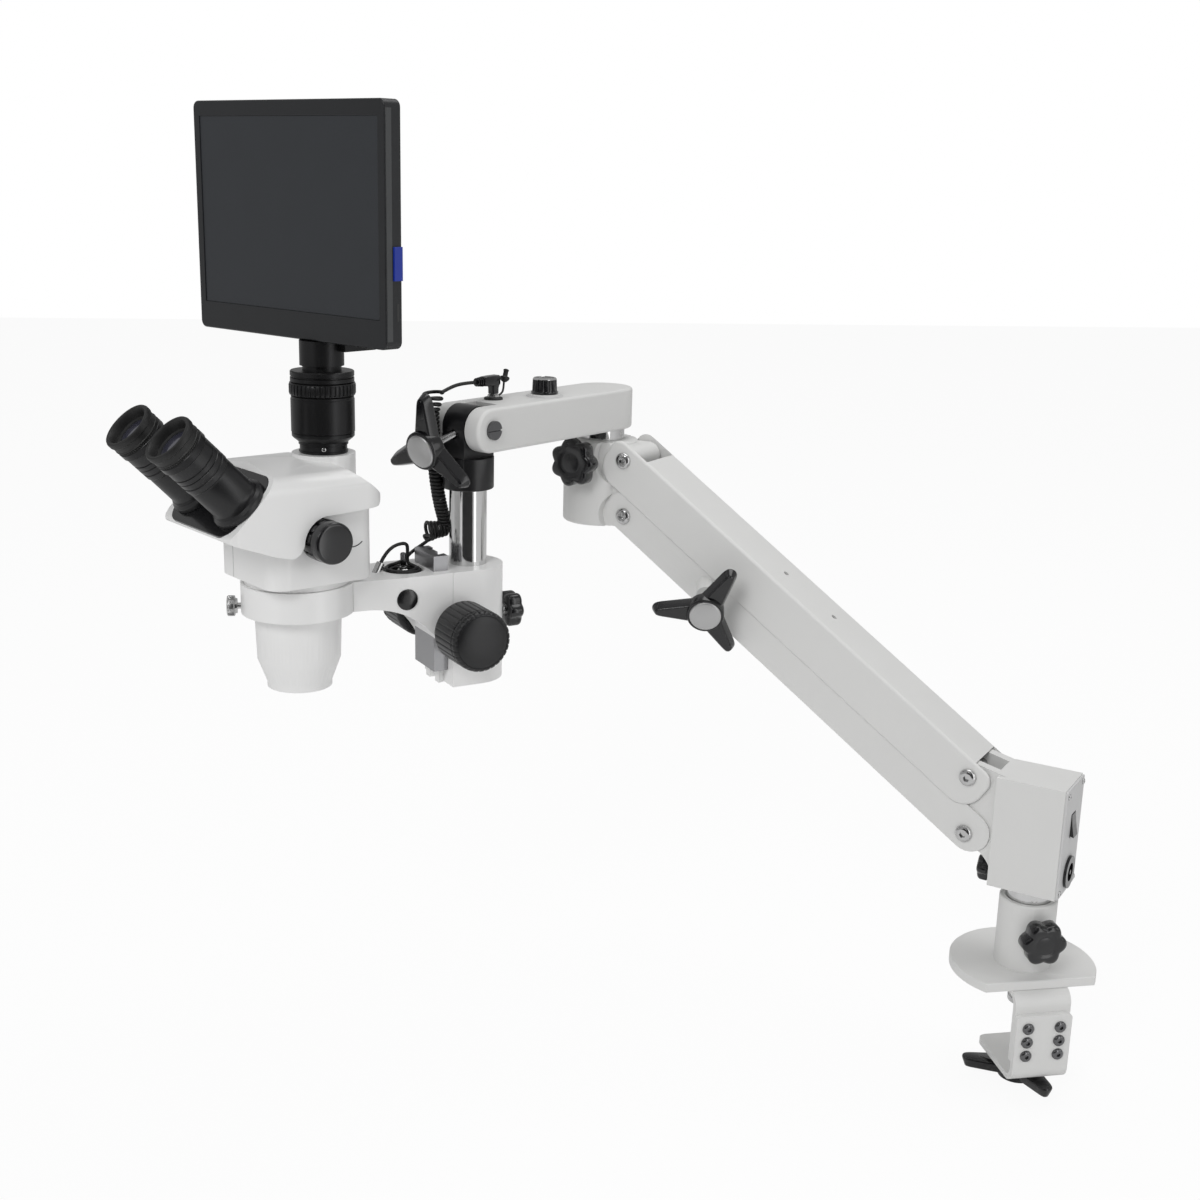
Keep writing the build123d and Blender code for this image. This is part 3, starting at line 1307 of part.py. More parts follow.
slope = math.sqrt(0.5)
face_top_reach = lip_reach - (shell_crown - lip_height)
plate_reach = lip_reach - plate_from_lip * slope
plate_height = lip_height + plate_from_lip * slope
face_plane = Plane(origin=(plate_reach, 0, plate_height), x_dir=(0, 1, 0), z_dir=(slope, 0, slope))
with BuildPart() as head_shell:
    with BuildSketch(Plane.XZ) as shell_side:
        with BuildLine():
            seam()
            Polyline(
                (-body_back, seam_rear_height), (-shell_rear_reach, shell_rear_height), (shell_crown_rear, shell_crown),
                (face_top_reach, shell_crown), (lip_reach, lip_height), (body_front, seam_front_height),
            )
        make_face()
        fillet(shell_side.vertices().sort_by(Axis.X)[-1], 4)
        fillet(shell_side.vertices().sort_by(Axis.X)[0], 5)
    extrude(amount=shell_half_width, both=True)
    with BuildSketch(Plane.YZ.offset(-shell_rear_reach)) as shell_front:
        Polygon(
            (-shell_half_width, 0), (shell_half_width, 0), (shell_half_width, shell_side_top), (0, shell_crown),
            (-shell_half_width, shell_side_top), align=None,
        )
        fillet(shell_front.vertices().group_by(Axis.Y)[1], shell_edge)
    extrude(amount=shell_rear_reach + lip_reach, mode=Mode.INTERSECT)
    with BuildSketch(Plane.XY) as shell_plan:
        with Locations(((lip_reach - shell_rear_reach) / 2, 0)):
            Rectangle(lip_reach + shell_rear_reach, 2 * shell_half_width)
        fillet(shell_plan.vertices().group_by(Axis.X)[0], shell_rear_corner)
        fillet(shell_plan.vertices().group_by(Axis.X)[-1], shell_front_corner)
    extrude(amount=2 * shell_crown, mode=Mode.INTERSECT)
    with BuildSketch(Plane.XY.offset(shell_rear_height)):
        with Locations((-port_back, 0)):
            Circle(port_radius)
    extrude(amount=port_rim - shell_rear_height)
    with BuildSketch(Plane.XY.offset(port_rim)):
        with Locations((-port_back, 0)):
            Circle(adapter_neck_radius + running_fit)
    extrude(amount=-adapter_spigot - face_gap, mode=Mode.SUBTRACT)
    with BuildSketch(face_plane):
        RectangleRounded(2 * plate_half_width, 2 * plate_half_length, plate_corner)
    extrude(amount=-plate_recess, mode=Mode.SUBTRACT)
    with BuildSketch(face_plane):
        with Locations((-eye_spacing / 2, eyetube_swing), (eye_spacing / 2, eyetube_swing)):
            Circle(eyetube_pivot_radius + running_fit)
    extrude(amount=-plate_recess - eyetube_pivot_length, mode=Mode.SUBTRACT)
keep(head_shell, "head_shell", head_seat)

with BuildPart() as eyetube_plate:
    with BuildSketch(face_plane.offset(-plate_recess)):
        RectangleRounded(2 * (plate_half_width - side_gap), 2 * (plate_half_length - side_gap), plate_corner - side_gap)
        with Locations((-eye_spacing / 2, eyetube_swing), (eye_spacing / 2, eyetube_swing)):
            Circle(eyetube_pivot_radius + running_fit, mode=Mode.SUBTRACT)
    extrude(amount=plate_recess + plate_proud)
keep(eyetube_plate, "eyetube_plate", head_seat)


def eyetube(name, side):
    """An eyetube turning on a pivot that stands off its own axis."""
    with BuildPart() as tube:
        with BuildSketch(face_plane.offset(plate_proud + side_gap)):
            with Locations((side * eye_spacing / 2, 0)):
                Circle(eyetube_base_radius)
        extrude(amount=eyetube_base_height)
        chamfer(tube.edges().filter_by(GeomType.CIRCLE).sort_by(face_plane_axis)[-1], 2)
        with BuildSketch(face_plane.offset(plate_proud + eyetube_base_height)):
            with Locations((side * eye_spacing / 2, 0)):
                Circle(eyetube_radius)
        extrude(amount=eyetube_length - eyetube_base_height)
        with BuildSketch(face_plane.offset(plate_proud + eyetube_length)):
            with Locations((side * eye_spacing / 2, 0)):
                Circle(spigot_radius + running_fit)
        extrude(amount=-spigot_length - face_gap, mode=Mode.SUBTRACT)
        with BuildSketch(face_plane.offset(plate_proud + side_gap)):
            with Locations((side * eye_spacing / 2, eyetube_swing)):
                Circle(eyetube_pivot_radius)
        extrude(amount=-plate_proud - plate_recess - eyetube_pivot_length + face_gap)
    keep(tube, name, head_seat)


def eyepiece(name, side):
    """An eyepiece with its cup, dropped into an eyetube."""
    with BuildPart() as piece:
        with BuildSketch(face_plane.offset(plate_proud + eyetube_length - spigot_length)):
            with Locations((side * eye_spacing / 2, 0)):
                Circle(spigot_radius)
        extrude(amount=spigot_length + side_gap)
        with BuildSketch(face_plane.offset(plate_proud + eyetube_length + side_gap)):
            with Locations((side * eye_spacing / 2, 0)):
                Circle(eyepiece_radius)
        extrude(amount=eyepiece_length - eyecup_length)
        with BuildSketch(face_plane.offset(plate_proud + eyetube_length + eyepiece_length - eyecup_length)):
            with Locations((side * eye_spacing / 2, 0)):
                Circle(eyecup_radius)
        extrude(amount=eyecup_length)
        chamfer(piece.edges().filter_by(GeomType.CIRCLE).sort_by(face_plane_axis)[-1], 1)
        with BuildSketch(face_plane.offset(plate_proud + eyetube_length + eyepiece_length)):
            with Locations((side * eye_spacing / 2, 0)):
                Circle(eyecup_bore_radius)
        extrude(amount=-eyecup_bore, mode=Mode.SUBTRACT)
    keep(piece, name, head_seat)


face_plane_axis = Axis(face_plane.origin, face_plane.z_dir)
eyetube("eyetube_left", -1)
eyetube("eyetube_right", 1)
eyepiece("eyepiece_left", -1)
eyepiece("eyepiece_right", 1)

with BuildPart() as zoom_knobs:
    for side in (-1, 1):
        with BuildSketch(Plane.XZ.offset(-side * (body_half_width + zoom_knob_gap))):
            with Locations((zoom_knob_reach, zoom_knob_height)):
                Circle(zoom_knob_radius)
        extrude(amount=-side * (zoom_knob_face - body_half_width - zoom_knob_gap))
    chamfer(zoom_knobs.faces().filter_by(Axis.Y).group_by(Axis.Y)[0].edges(), 1)
    chamfer(zoom_knobs.faces().filter_by(Axis.Y).group_by(Axis.Y)[-1].edges(), 1)
    with BuildSketch(Plane.XZ.offset(-body_half_width - zoom_knob_gap)):
        with Locations((zoom_knob_reach, zoom_knob_height)):
            Circle(zoom_stub_radius)
    extrude(amount=2 * (body_half_width + zoom_knob_gap))
keep(zoom_knobs, "zoom_knobs", head_seat)

# Camera adapter and display, heights from the port's rim
port_seat = Plane(port.location * Location((0, 0, carrier_top + port_rim)))
display_seat = Plane(display.location * Location((0, 0, carrier_top + port_rim)))
adapter_bottom = adapter_neck + adapter_cone
adapter_top = adapter_bottom + adapter_length
flange_bottom = adapter_top + knurl_length
flange_top = flange_bottom + flange_length
with BuildPart() as camera_adapter:
    with BuildSketch(Plane.XZ):
        Polygon(
            (0, -adapter_spigot), (adapter_neck_radius, -adapter_spigot), (adapter_neck_radius, adapter_neck),
            (adapter_radius, adapter_bottom), (adapter_radius, adapter_top), (knurl_seat_radius, adapter_top),
            (knurl_seat_radius, flange_bottom), (adapter_radius, flange_bottom), (adapter_radius, flange_top),
            (0, flange_top), align=None,
        )
    revolve(axis=Axis.Z)
    with BuildSketch(Plane.XY.offset(flange_top)):
        Circle(mount_neck_radius + running_fit)
    extrude(amount=-adapter_socket, mode=Mode.SUBTRACT)
keep(camera_adapter, "camera_adapter", port_seat)

with BuildPart() as adapter_ring:
    with BuildSketch(Plane.XY.offset(adapter_top + side_gap)):
        Circle(knurl_radius)
        Circle(knurl_seat_radius + running_fit, mode=Mode.SUBTRACT)
    extrude(amount=knurl_length - 2 * side_gap)
keep(adapter_ring, "adapter_ring", port_seat)

mount_top = flange_top + mount_neck + mount_length
block_top = mount_top + block_height
monitor_back = monitor_front - monitor_thickness
with BuildPart() as camera_block:
    with BuildSketch(Plane.XY.offset(flange_top - adapter_socket + face_gap)):
        Circle(mount_neck_radius)
    extrude(amount=adapter_socket + mount_neck - face_gap)
    with BuildSketch(Plane.XY.offset(flange_top + mount_neck)):
        Circle(mount_radius)
    extrude(amount=mount_length)
    with BuildSketch(Plane.XY.offset(mount_top)):
        Circle(mount_radius)
        with Locations((0, 0)):
            Rectangle(block_back, 2 * mount_radius, align=(Align.MAX, Align.CENTER))
        with Locations((monitor_back, 0)):
            Rectangle(block_back + monitor_back, 2 * block_half_width, align=(Align.MAX, Align.CENTER))
    extrude(amount=block_plate)
    with BuildSketch(Plane.XY.offset(mount_top + block_plate)):
        with Locations((monitor_back, 0)):
            Rectangle(block_back + monitor_back, 2 * block_half_width, align=(Align.MAX, Align.CENTER))
    extrude(amount=block_height)
keep(camera_block, "camera_block", display_seat)

frame_bottom = mount_top + monitor_lift
frame_middle = frame_bottom + monitor_height / 2
monitor_plane = Plane(
    origin=(monitor_back, -monitor_shift, frame_middle), x_dir=(0, 1, 0), z_dir=(1, 0, 0)
)
screen_width = monitor_width - 2 * bezel_side
screen_height = monitor_height - bezel_top - bezel_bottom
screen_raise = (bezel_bottom - bezel_top) / 2
with BuildPart() as monitor_frame:
    with BuildSketch(monitor_plane):
        RectangleRounded(monitor_width, monitor_height, monitor_corner)
    extrude(amount=monitor_thickness)
    chamfer(monitor_frame.faces().sort_by(Axis.X)[-1].edges(), 0.8)
    with BuildSketch(monitor_plane.offset(monitor_thickness)):
        with Locations((0, screen_raise)):
            Rectangle(screen_width, screen_height)
    extrude(amount=-screen_recess - screen_thickness, mode=Mode.SUBTRACT)
keep(monitor_frame, "monitor_frame", display_seat)

with BuildPart() as monitor_screen:
    with BuildSketch(monitor_plane.offset(monitor_thickness - screen_recess - screen_thickness)):
        with Locations((0, screen_raise)):
            Rectangle(screen_width - 2 * side_gap, screen_height - 2 * side_gap)
    extrude(amount=screen_thickness)
keep(monitor_screen, "monitor_screen", display_seat)

# Cord: lead from the plug, curly stretch, knot, lead to the coil, coil in the arm's pocket, tail to the gland


def bend_radius(points):
    """The radius that the tightest corner of a route leaves room for."""
    radii = []
    for before, corner, after in zip(points, points[1:], points[2:]):
        half_turn = math.radians((corner - before).get_angle(after - corner)) / 2
        shorter = min((corner - before).length, (after - corner).length)
        radii.append(bend_share * shorter / math.tan(half_turn))
    return min(radii)


def cord(name, points, radius, stubs=()):
    """A cord of straight runs and the arcs between them, with the start of any lead that leaves its side."""
    with BuildPart() as piece:
        with BuildLine() as route:
            FilletPolyline(*points, radius=bend_radius(points))
        with BuildSketch(Plane(origin=route.line @ 0, z_dir=route.line % 0)):
            Circle(radius)
        sweep(path=route.line)
        for start, end in stubs:
            with BuildSketch(Plane(origin=start, z_dir=end - start)):
                Circle(lead_radius)
            extrude(amount=(end - start).length)
    keep(piece, name)


plug_end = inside(beam_frame, socket_x + plug_body + plug_relief, -socket_offset, plug_axis_z)
lead_turn = inside(beam_frame, socket_x + plug_body + plug_relief + lead_run, -socket_offset, plug_axis_z)
curl_top = inside(beam_frame, beam_length + curl_past_pin, -curl_aside, pin_z + curl_rise)
curl_entry = inside(beam_frame, beam_length + curl_past_pin, -curl_aside, pin_z + curl_entry_rise)
curl_turn = inside(beam_frame, beam_length + curl_low_past_pin, -curl_low_aside, pin_z - curl_low_drop)
knot_centre = inside(carrier, knot_reach, -knot_aside, carrier_top + knot_rise)
drop_turn = inside(carrier, drop_reach, -drop_aside, carrier_top + drop_rise)
coil_entry = inside(carrier, pocket_reach - coil_entry_back, -coil_entry_aside, carrier_top + coil_entry_rise)
lead_in = (lead_turn - curl_entry).normalized()
curl_in = (curl_turn - knot_centre).normalized()
knot_out = (drop_turn - knot_centre).normalized()
coil_in = (coil_entry - drop_turn).normalized()
lead_end = curl_entry + lead_in * curl_stub
curl_end = knot_centre + curl_in * knot_flat
drop_start = knot_centre + knot_out * knot_flat

cord("upper_lead", [plug_end, lead_turn, lead_end], lead_radius)
cord("curly_cord", [curl_top, curl_turn, curl_end], curl_radius, [(curl_entry, lead_end)])

with BuildPart() as cord_knot:
    with Locations(knot_centre):
        Sphere(knot_radius)
    for end, out in ((curl_end, curl_in), (drop_start, knot_out)):
        with BuildSketch(Plane(origin=end, z_dir=out)):
            Circle(knot_radius)
        extrude(amount=knot_radius, mode=Mode.SUBTRACT)
keep(cord_knot, "cord_knot")

cord("lower_lead", [drop_start, drop_turn, coil_entry], lead_radius)

coil_foot = inside(carrier, pocket_reach, 0, pocket_floor)
with BuildPart() as lead_coil:
    with BuildSketch(Plane(origin=coil_foot)):
        Circle(coil_radius)
        Circle(coil_bore_radius, mode=Mode.SUBTRACT)
    extrude(amount=coil_height)
    fillet(lead_coil.edges(), coil_corner)
    with BuildSketch(Plane(origin=coil_entry, z_dir=coil_in)):
        Circle(lead_radius)
    extrude(amount=coil_stub)
keep(lead_coil, "lead_coil")

coil_top = pocket_floor + coil_height
tail_start = inside(carrier, pocket_reach - tail_back, -tail_aside, coil_top)
tail_rise = inside(carrier, pocket_reach - tail_back, -tail_aside, carrier_top + tail_rise_height)
tail_over = carrier.from_local_coords(tail_turn)
cord("tail_lead", [tail_start, tail_rise, tail_over, carrier.from_local_coords(gland_face)], lead_radius)
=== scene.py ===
import bpy
import bmesh
import json
import math
from mathutils import Matrix, Vector
from mathutils.bvhtree import BVHTree


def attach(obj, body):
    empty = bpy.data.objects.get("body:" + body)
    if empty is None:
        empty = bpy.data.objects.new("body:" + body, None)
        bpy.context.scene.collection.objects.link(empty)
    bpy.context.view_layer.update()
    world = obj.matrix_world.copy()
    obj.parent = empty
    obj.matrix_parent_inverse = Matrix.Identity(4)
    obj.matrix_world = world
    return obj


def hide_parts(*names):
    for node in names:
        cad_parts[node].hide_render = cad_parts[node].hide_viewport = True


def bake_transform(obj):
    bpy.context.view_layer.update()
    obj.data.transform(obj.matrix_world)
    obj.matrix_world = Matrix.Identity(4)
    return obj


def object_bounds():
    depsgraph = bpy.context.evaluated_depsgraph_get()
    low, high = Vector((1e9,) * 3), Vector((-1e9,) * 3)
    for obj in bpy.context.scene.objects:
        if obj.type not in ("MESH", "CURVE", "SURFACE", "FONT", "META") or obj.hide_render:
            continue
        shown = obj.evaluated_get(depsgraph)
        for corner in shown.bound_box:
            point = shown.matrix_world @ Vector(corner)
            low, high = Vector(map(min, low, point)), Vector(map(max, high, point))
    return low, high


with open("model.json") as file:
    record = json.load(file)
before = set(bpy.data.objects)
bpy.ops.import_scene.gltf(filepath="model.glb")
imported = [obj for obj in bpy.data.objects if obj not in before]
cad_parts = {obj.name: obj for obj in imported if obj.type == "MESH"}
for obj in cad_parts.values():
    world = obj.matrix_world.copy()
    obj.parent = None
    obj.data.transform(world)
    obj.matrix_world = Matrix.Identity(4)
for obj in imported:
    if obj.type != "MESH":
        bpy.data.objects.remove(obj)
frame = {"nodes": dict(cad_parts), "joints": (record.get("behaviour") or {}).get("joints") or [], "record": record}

nodes = frame["nodes"]
joints = {joint["name"]: joint for joint in frame["joints"]}
bodyOf = {node: body for body, members in frame["record"]["behaviour"]["bodies"].items() for node in members}
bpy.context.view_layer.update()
mm = 0.001


def putIn(name, data):
    piece = bpy.data.objects.new(name, data)
    bpy.context.scene.collection.objects.link(piece)
    return piece


# Camera at the photograph's place
camera = {
    "place": (-0.5954, -1.1670, 0.6646),
    "heading": 10.4,
    "dip": 15.07,
    "roll": 1.456,
    "lens": 47.67,
}


def addCamera():
    data = bpy.data.cameras.new("photoCamera")
    data.lens = camera["lens"]
    data.sensor_width = 36
    data.clip_start = 0.05
    data.clip_end = 30
    eye = putIn("photoCamera", data)
    heading, dip = math.radians(camera["heading"]), math.radians(camera["dip"])
    ahead = Vector((math.sin(heading) * math.cos(dip), math.cos(heading) * math.cos(dip), -math.sin(dip)))
    turn = ahead.to_track_quat("-Z", "Y").to_matrix()
    roll = Matrix.Rotation(math.radians(camera["roll"]), 3, "Z")
    eye.matrix_world = Matrix.Translation(camera["place"]) @ (turn @ roll).to_4x4()
    bpy.context.scene.camera = eye


addCamera()
print("camera placed")


# Shader groups that several materials share
def makeGrain():
    # a fine height for Bump, and a roughness that wanders round its middle value
    tree = bpy.data.node_groups.new("fineGrain", "ShaderNodeTree")
    for name, value in (("Size", 400.0), ("Roughness", 0.4), ("Spread", 0.06)):
        socket = tree.interface.new_socket(name=name, in_out="INPUT", socket_type="NodeSocketFloat")
        socket.default_value = value
    for name in ("Height", "Roughness", "Broad"):
        tree.interface.new_socket(name=name, in_out="OUTPUT", socket_type="NodeSocketFloat")
    entry = tree.nodes.new("NodeGroupInput")
    leave = tree.nodes.new("NodeGroupOutput")
    place = tree.nodes.new("ShaderNodeTexCoord")
    fine = tree.nodes.new("ShaderNodeTexNoise")
    fine.inputs["Detail"].default_value = 3
    broad = tree.nodes.new("ShaderNodeTexNoise")
    broad.inputs["Scale"].default_value = 35
    broad.inputs["Detail"].default_value = 4
    shift = tree.nodes.new("ShaderNodeMath")
    shift.operation = "SUBTRACT"
    shift.inputs[1].default_value = 0.5
    scaled = tree.nodes.new("ShaderNodeMath")
    scaled.operation = "MULTIPLY_ADD"
    link = tree.links.new
    link(place.outputs["Object"], fine.inputs["Vector"])
    link(place.outputs["Object"], broad.inputs["Vector"])
    link(entry.outputs["Size"], fine.inputs["Scale"])
    link(fine.outputs["Fac"], leave.inputs["Height"])
    link(broad.outputs["Fac"], leave.inputs["Broad"])
    link(broad.outputs["Fac"], shift.inputs[0])
    link(shift.outputs[0], scaled.inputs[0])
    link(entry.outputs["Spread"], scaled.inputs[1])
    link(entry.outputs["Roughness"], scaled.inputs[2])
    link(scaled.outputs[0], leave.inputs["Roughness"])
    return tree


grainTree = makeGrain()


finishes = {}


def makeMaterial(name, colour, roughness, grainSize=600.0, spread=0.06, bump=0.03, depth=0.00005,
                 tint=0.04, metallic=0.0, coat=0.0, specular=0.5):
    # one finish: colour that varies slightly, roughness and bump from the shared grain
    material = bpy.data.materials.new(name)
    material.use_nodes = True
    tree = material.node_tree
    shader = tree.nodes["Principled BSDF"]
    shader.inputs["Metallic"].default_value = metallic
    shader.inputs["Coat Weight"].default_value = coat
    shader.inputs["Coat Roughness"].default_value = 0.12
    shader.inputs["Specular IOR Level"].default_value = specular
    grain = tree.nodes.new("ShaderNodeGroup")
    grain.node_tree = grainTree
    grain.inputs["Size"].default_value = grainSize
    grain.inputs["Roughness"].default_value = roughness
    grain.inputs["Spread"].default_value = spread
    ramp = tree.nodes.new("ShaderNodeMix")
    ramp.data_type = "RGBA"
    dark = [c * (1 - tint) for c in colour]
    light = [min(1.0, c * (1 + tint)) for c in colour]
    ramp.inputs["A"].default_value = (*dark, 1)
    ramp.inputs["B"].default_value = (*light, 1)
    bumpNode = tree.nodes.new("ShaderNodeBump")
    bumpNode.inputs["Strength"].default_value = bump
    bumpNode.inputs["Distance"].default_value = depth
    link = tree.links.new
    link(grain.outputs["Broad"], ramp.inputs["Factor"])
    link(ramp.outputs["Result"], shader.inputs["Base Color"])
    link(grain.outputs["Roughness"], shader.inputs["Roughness"])
    link(grain.outputs["Height"], bumpNode.inputs["Height"])
    link(bumpNode.outputs["Normal"], shader.inputs["Normal"])
    finishes[name] = material


makeMaterial("headEnamel", (0.86, 0.86, 0.855), 0.32, 900, 0.05, 0.15, coat=0.25, tint=0.01)
makeMaterial("armEnamel", (0.74, 0.74, 0.73), 0.46, 1500, 0.08, 0.5, tint=0.015)
makeMaterial("mouldedBlack", (0.006, 0.006, 0.007), 0.2, 500, 0.10, 0.12, coat=0.3, tint=0.3)
makeMaterial("gripBlack", (0.008, 0.008, 0.009), 0.36, 1200, 0.08, 0.4, tint=0.25)
makeMaterial("rubberBlack", (0.010, 0.010, 0.010), 0.5, 1600, 0.06, 0.5, tint=0.2)
makeMaterial("anodisedBlack", (0.02, 0.02, 0.021), 0.33, 2200, 0.06, 0.35, tint=0.2, metallic=0.6)
makeMaterial("castBlack", (0.008, 0.008, 0.009), 0.32, 1500, 0.08, 0.5, tint=0.2)
makeMaterial("polishedSteel", (0.66, 0.66, 0.66), 0.12, 300, 0.06, 0.02, tint=0.05, metallic=1.0)
makeMaterial("turnedSteel", (0.55, 0.55, 0.55), 0.25, 1200, 0.08, 0.15, tint=0.08, metallic=1.0)
makeMaterial("darkSteel", (0.16, 0.16, 0.165), 0.22, 900, 0.08, 0.1, tint=0.15, metallic=1.0)
makeMaterial("slideMetal", (0.35, 0.35, 0.36), 0.35, 1400, 0.08, 0.25, tint=0.08, metallic=0.9)
makeMaterial("capDisc", (0.50, 0.50, 0.50), 0.35, 2500, 0.05, 0.3, tint=0.06, metallic=0.7)
makeMaterial("panelGrey", (0.62, 0.62, 0.62), 0.45, 1500, 0.06, 0.3, tint=0.02)
makeMaterial("displayBlack", (0.010, 0.011, 0.013), 0.4, 1800, 0.08, 0.5, tint=0.2)
makeMaterial("screenBlack", (0.022, 0.025, 0.030), 0.5, 2500, 0.06, 0.25, tint=0.1)
makeMaterial("boltChrome", (0.58, 0.58, 0.58), 0.16, 600, 0.06, 0.06, tint=0.08, metallic=1.0)
makeMaterial("stripGrey", (0.085, 0.088, 0.09), 0.38, 1400, 0.06, 0.2, tint=0.05, metallic=0.5)
makeMaterial("cardBlue", (0.012, 0.035, 0.33), 0.4, 1200, 0.05, 0.2, tint=0.08)
makeMaterial("seamDark", (0.03, 0.03, 0.03), 0.6, 1200, 0.05, 0.2, tint=0.2)
makeMaterial("seamGrey", (0.24, 0.24, 0.24), 0.6, 1200, 0.05, 0.2, tint=0.1)
makeMaterial("lensGlass", (0.03, 0.03, 0.05), 0.05, 200, 0.01, 0.0, tint=0.1, coat=1.0)

finishOf = {
    "headEnamel": ["zoom_body", "head_shell", "ring_arm", "collar"],
    "armEnamel": [
        "base_column", "upper_jaw", "lower_jaw", "shoulder_housing", "upper_arm_cover", "lower_arm_channel",
        "elbow_casting", "beam",
    ],
    "mouldedBlack": [
        "column_lock_knob", "jaw_handle", "shoulder_lock_knob", "arm_lock_handle", "elbow_lock_knob",
        "knuckle_handle", "collar_lock_knob", "dimmer_knob", "eyetube_plate", "power_inlet",
        "rocker_switch", "zoom_knobs",
    ],
    "gripBlack": ["focus_knobs", "eyepiece_left", "eyepiece_right", "eyetube_left", "eyetube_right"],
    "rubberBlack": [
        "dc_plug", "power_socket", "upper_lead", "curly_cord", "cord_knot", "lower_lead", "lead_coil",
        "tail_lead",
    ],
    "anodisedBlack": ["camera_adapter", "adapter_ring", "camera_block"],
    "castBlack": ["knuckle", "toggle_lever"],
    "polishedSteel": ["pole", "swivel_post", "shoulder_spindle", "gas_spring_rod"],
    "turnedSteel": [
        "jaw_pad", "pinion_shaft", "arm_fittings", "shoulder_axles", "elbow_axles", "ring_thumb_screw",
    ],
    "darkSteel": ["jaw_bolts", "fork_pin", "gas_spring_tube"], "slideMetal": ["focus_slide"],
    "panelGrey": ["rear_panel"], "displayBlack": ["monitor_frame"], "screenBlack": ["monitor_screen"],
    "lensGlass": ["objective_lens"],
}

nodeFinish = {node: finish for finish, members in finishOf.items() for node in members}


def finishNodes():
    for finish, names in finishOf.items():
        for name in names:
            node = nodes[name]
            node.data.materials.clear()
            node.data.materials.append(finishes[finish])


finishNodes()
print("CAD nodes finished:", sum(len(names) for names in finishOf.values()), "of", len(nodes))


# Where things stand, from the joints: x runs along each piece, z up
def placeOf(joint):
    return Vector(joints[joint]["pos_m"])


def wayOf(joint):
    return Vector(joints[joint]["axis"]).normalized()


def levelFrame(foot, ahead):
    run = Vector((ahead.x - foot.x, ahead.y - foot.y, 0)).normalized()
    side = Vector((-run.y, run.x, 0))
    turn = Matrix((run, side, Vector((0, 0, 1)))).transposed().to_4x4()
    return Matrix.Translation((foot.x, foot.y, 0)) @ turn


def seatFrame(place, way):
    # z along the axis of a turned piece, x level
    up = Vector(way).normalized()
    level = Vector((-up.y, up.x, 0))
    run = level.normalized() if level.length > 1e-6 else Vector((1, 0, 0))
    turn = Matrix((run, up.cross(run), up)).transposed().to_4x4()
    return Matrix.Translation(place) @ turn


shoulderFrame = levelFrame(placeOf("shoulder_swivel"), placeOf("beam_swivel"))
beamFrame = levelFrame(placeOf("beam_swivel"), placeOf("pole_turn"))
carrierFrame = levelFrame(placeOf("pole_turn"), placeOf("scope_turn"))
headFrame = levelFrame(placeOf("scope_turn"), placeOf("scope_turn") * 2 - placeOf("adapter_focus"))
displayYaw = math.radians(219.0)
displayFoot = placeOf("monitor_turn")
displayFrame = Matrix.Translation((displayFoot.x, displayFoot.y, 0)) @ Matrix.Rotation(displayYaw, 4, "Z")


def inFrame(where, x, y, z):
    return where @ Vector((x * mm, y * mm, z * mm))


def reachOf(node, where):
    # lowest and highest corner of a CAD node in a frame, in millimetres
    back = where.inverted()
    spots = [back @ vertex.co for vertex in nodes[node].data.vertices]
    low = [min(spot[side] for spot in spots) / mm for side in range(3)]
    high = [max(spot[side] for spot in spots) / mm for side in range(3)]
    return low, high


# Mesh tools: pieces are drawn in millimetres in their own frame
def turned(shape, profile, steps=64, wave=None, look=0):
    # profile: (radius, height) or (radius, height, share of the wave); a radius of 0 closes the end
    rings = []
    for radius, height, *shares in profile:
        share = sum(shares)
        if radius < 1e-6:
            rings.append([shape.verts.new((0, 0, height))])
            continue
        ring = []
        for step in range(steps):
            angle = 2 * math.pi * step / steps
            reach = radius + (share * wave(angle) if wave and share else 0.0)
            ring.append(shape.verts.new((reach * math.cos(angle), reach * math.sin(angle), height)))
        rings.append(ring)
    bridge(shape, rings, look)


def outlined(shape, outline, levels, look=0):
    # levels: (inset, height); each ring is the outline moved inwards
    count = len(outline)
    normals = []
    for place in range(count):
        before, after = Vector(outline[place - 1]), Vector(outline[(place + 1) % count])
        run = (after - before).normalized()
        normals.append((run.y, -run.x))
    rings = []
    for inset, height in levels:
        rings.append([
            shape.verts.new((x - nx * inset, y - ny * inset, height))
            for (x, y), (nx, ny) in zip(outline, normals)
        ])
    bridge(shape, rings, look)


def bridge(shape, rings, look):
    for lower, upper in zip(rings, rings[1:]):
        count = max(len(lower), len(upper))
        for step in range(count):
            after = (step + 1) % count
            if len(lower) == 1:
                face = (lower[0], upper[step], upper[after])
            elif len(upper) == 1:
                face = (lower[step], lower[after], upper[0])
            else:
                face = (lower[step], lower[after], upper[after], upper[step])
            shape.faces.new(face).material_index = look
    for ring, turnedOver in ((rings[0], True), (rings[-1], False)):
        if len(ring) > 1:
            shape.faces.new(ring[::-1] if turnedOver else ring).material_index = look


def block(shape, low, high, look=0):
    corners = [
        shape.verts.new((x, y, z)) for z in (low[2], high[2])
        for x, y in ((low[0], low[1]), (high[0], low[1]), (high[0], high[1]), (low[0], high[1]))
    ]
    for face in ((3, 2, 1, 0), (4, 5, 6, 7), (0, 1, 5, 4), (1, 2, 6, 5), (2, 3, 7, 6), (3, 0, 4, 7)):
        shape.faces.new([corners[place] for place in face]).material_index = look


def dress(mesh, looks):
    # smooth shading, and one material slot for each look
    for look in looks:
        mesh.materials.append(finishes[look])
    mesh.polygons.foreach_set("use_smooth", [True] * len(mesh.polygons))


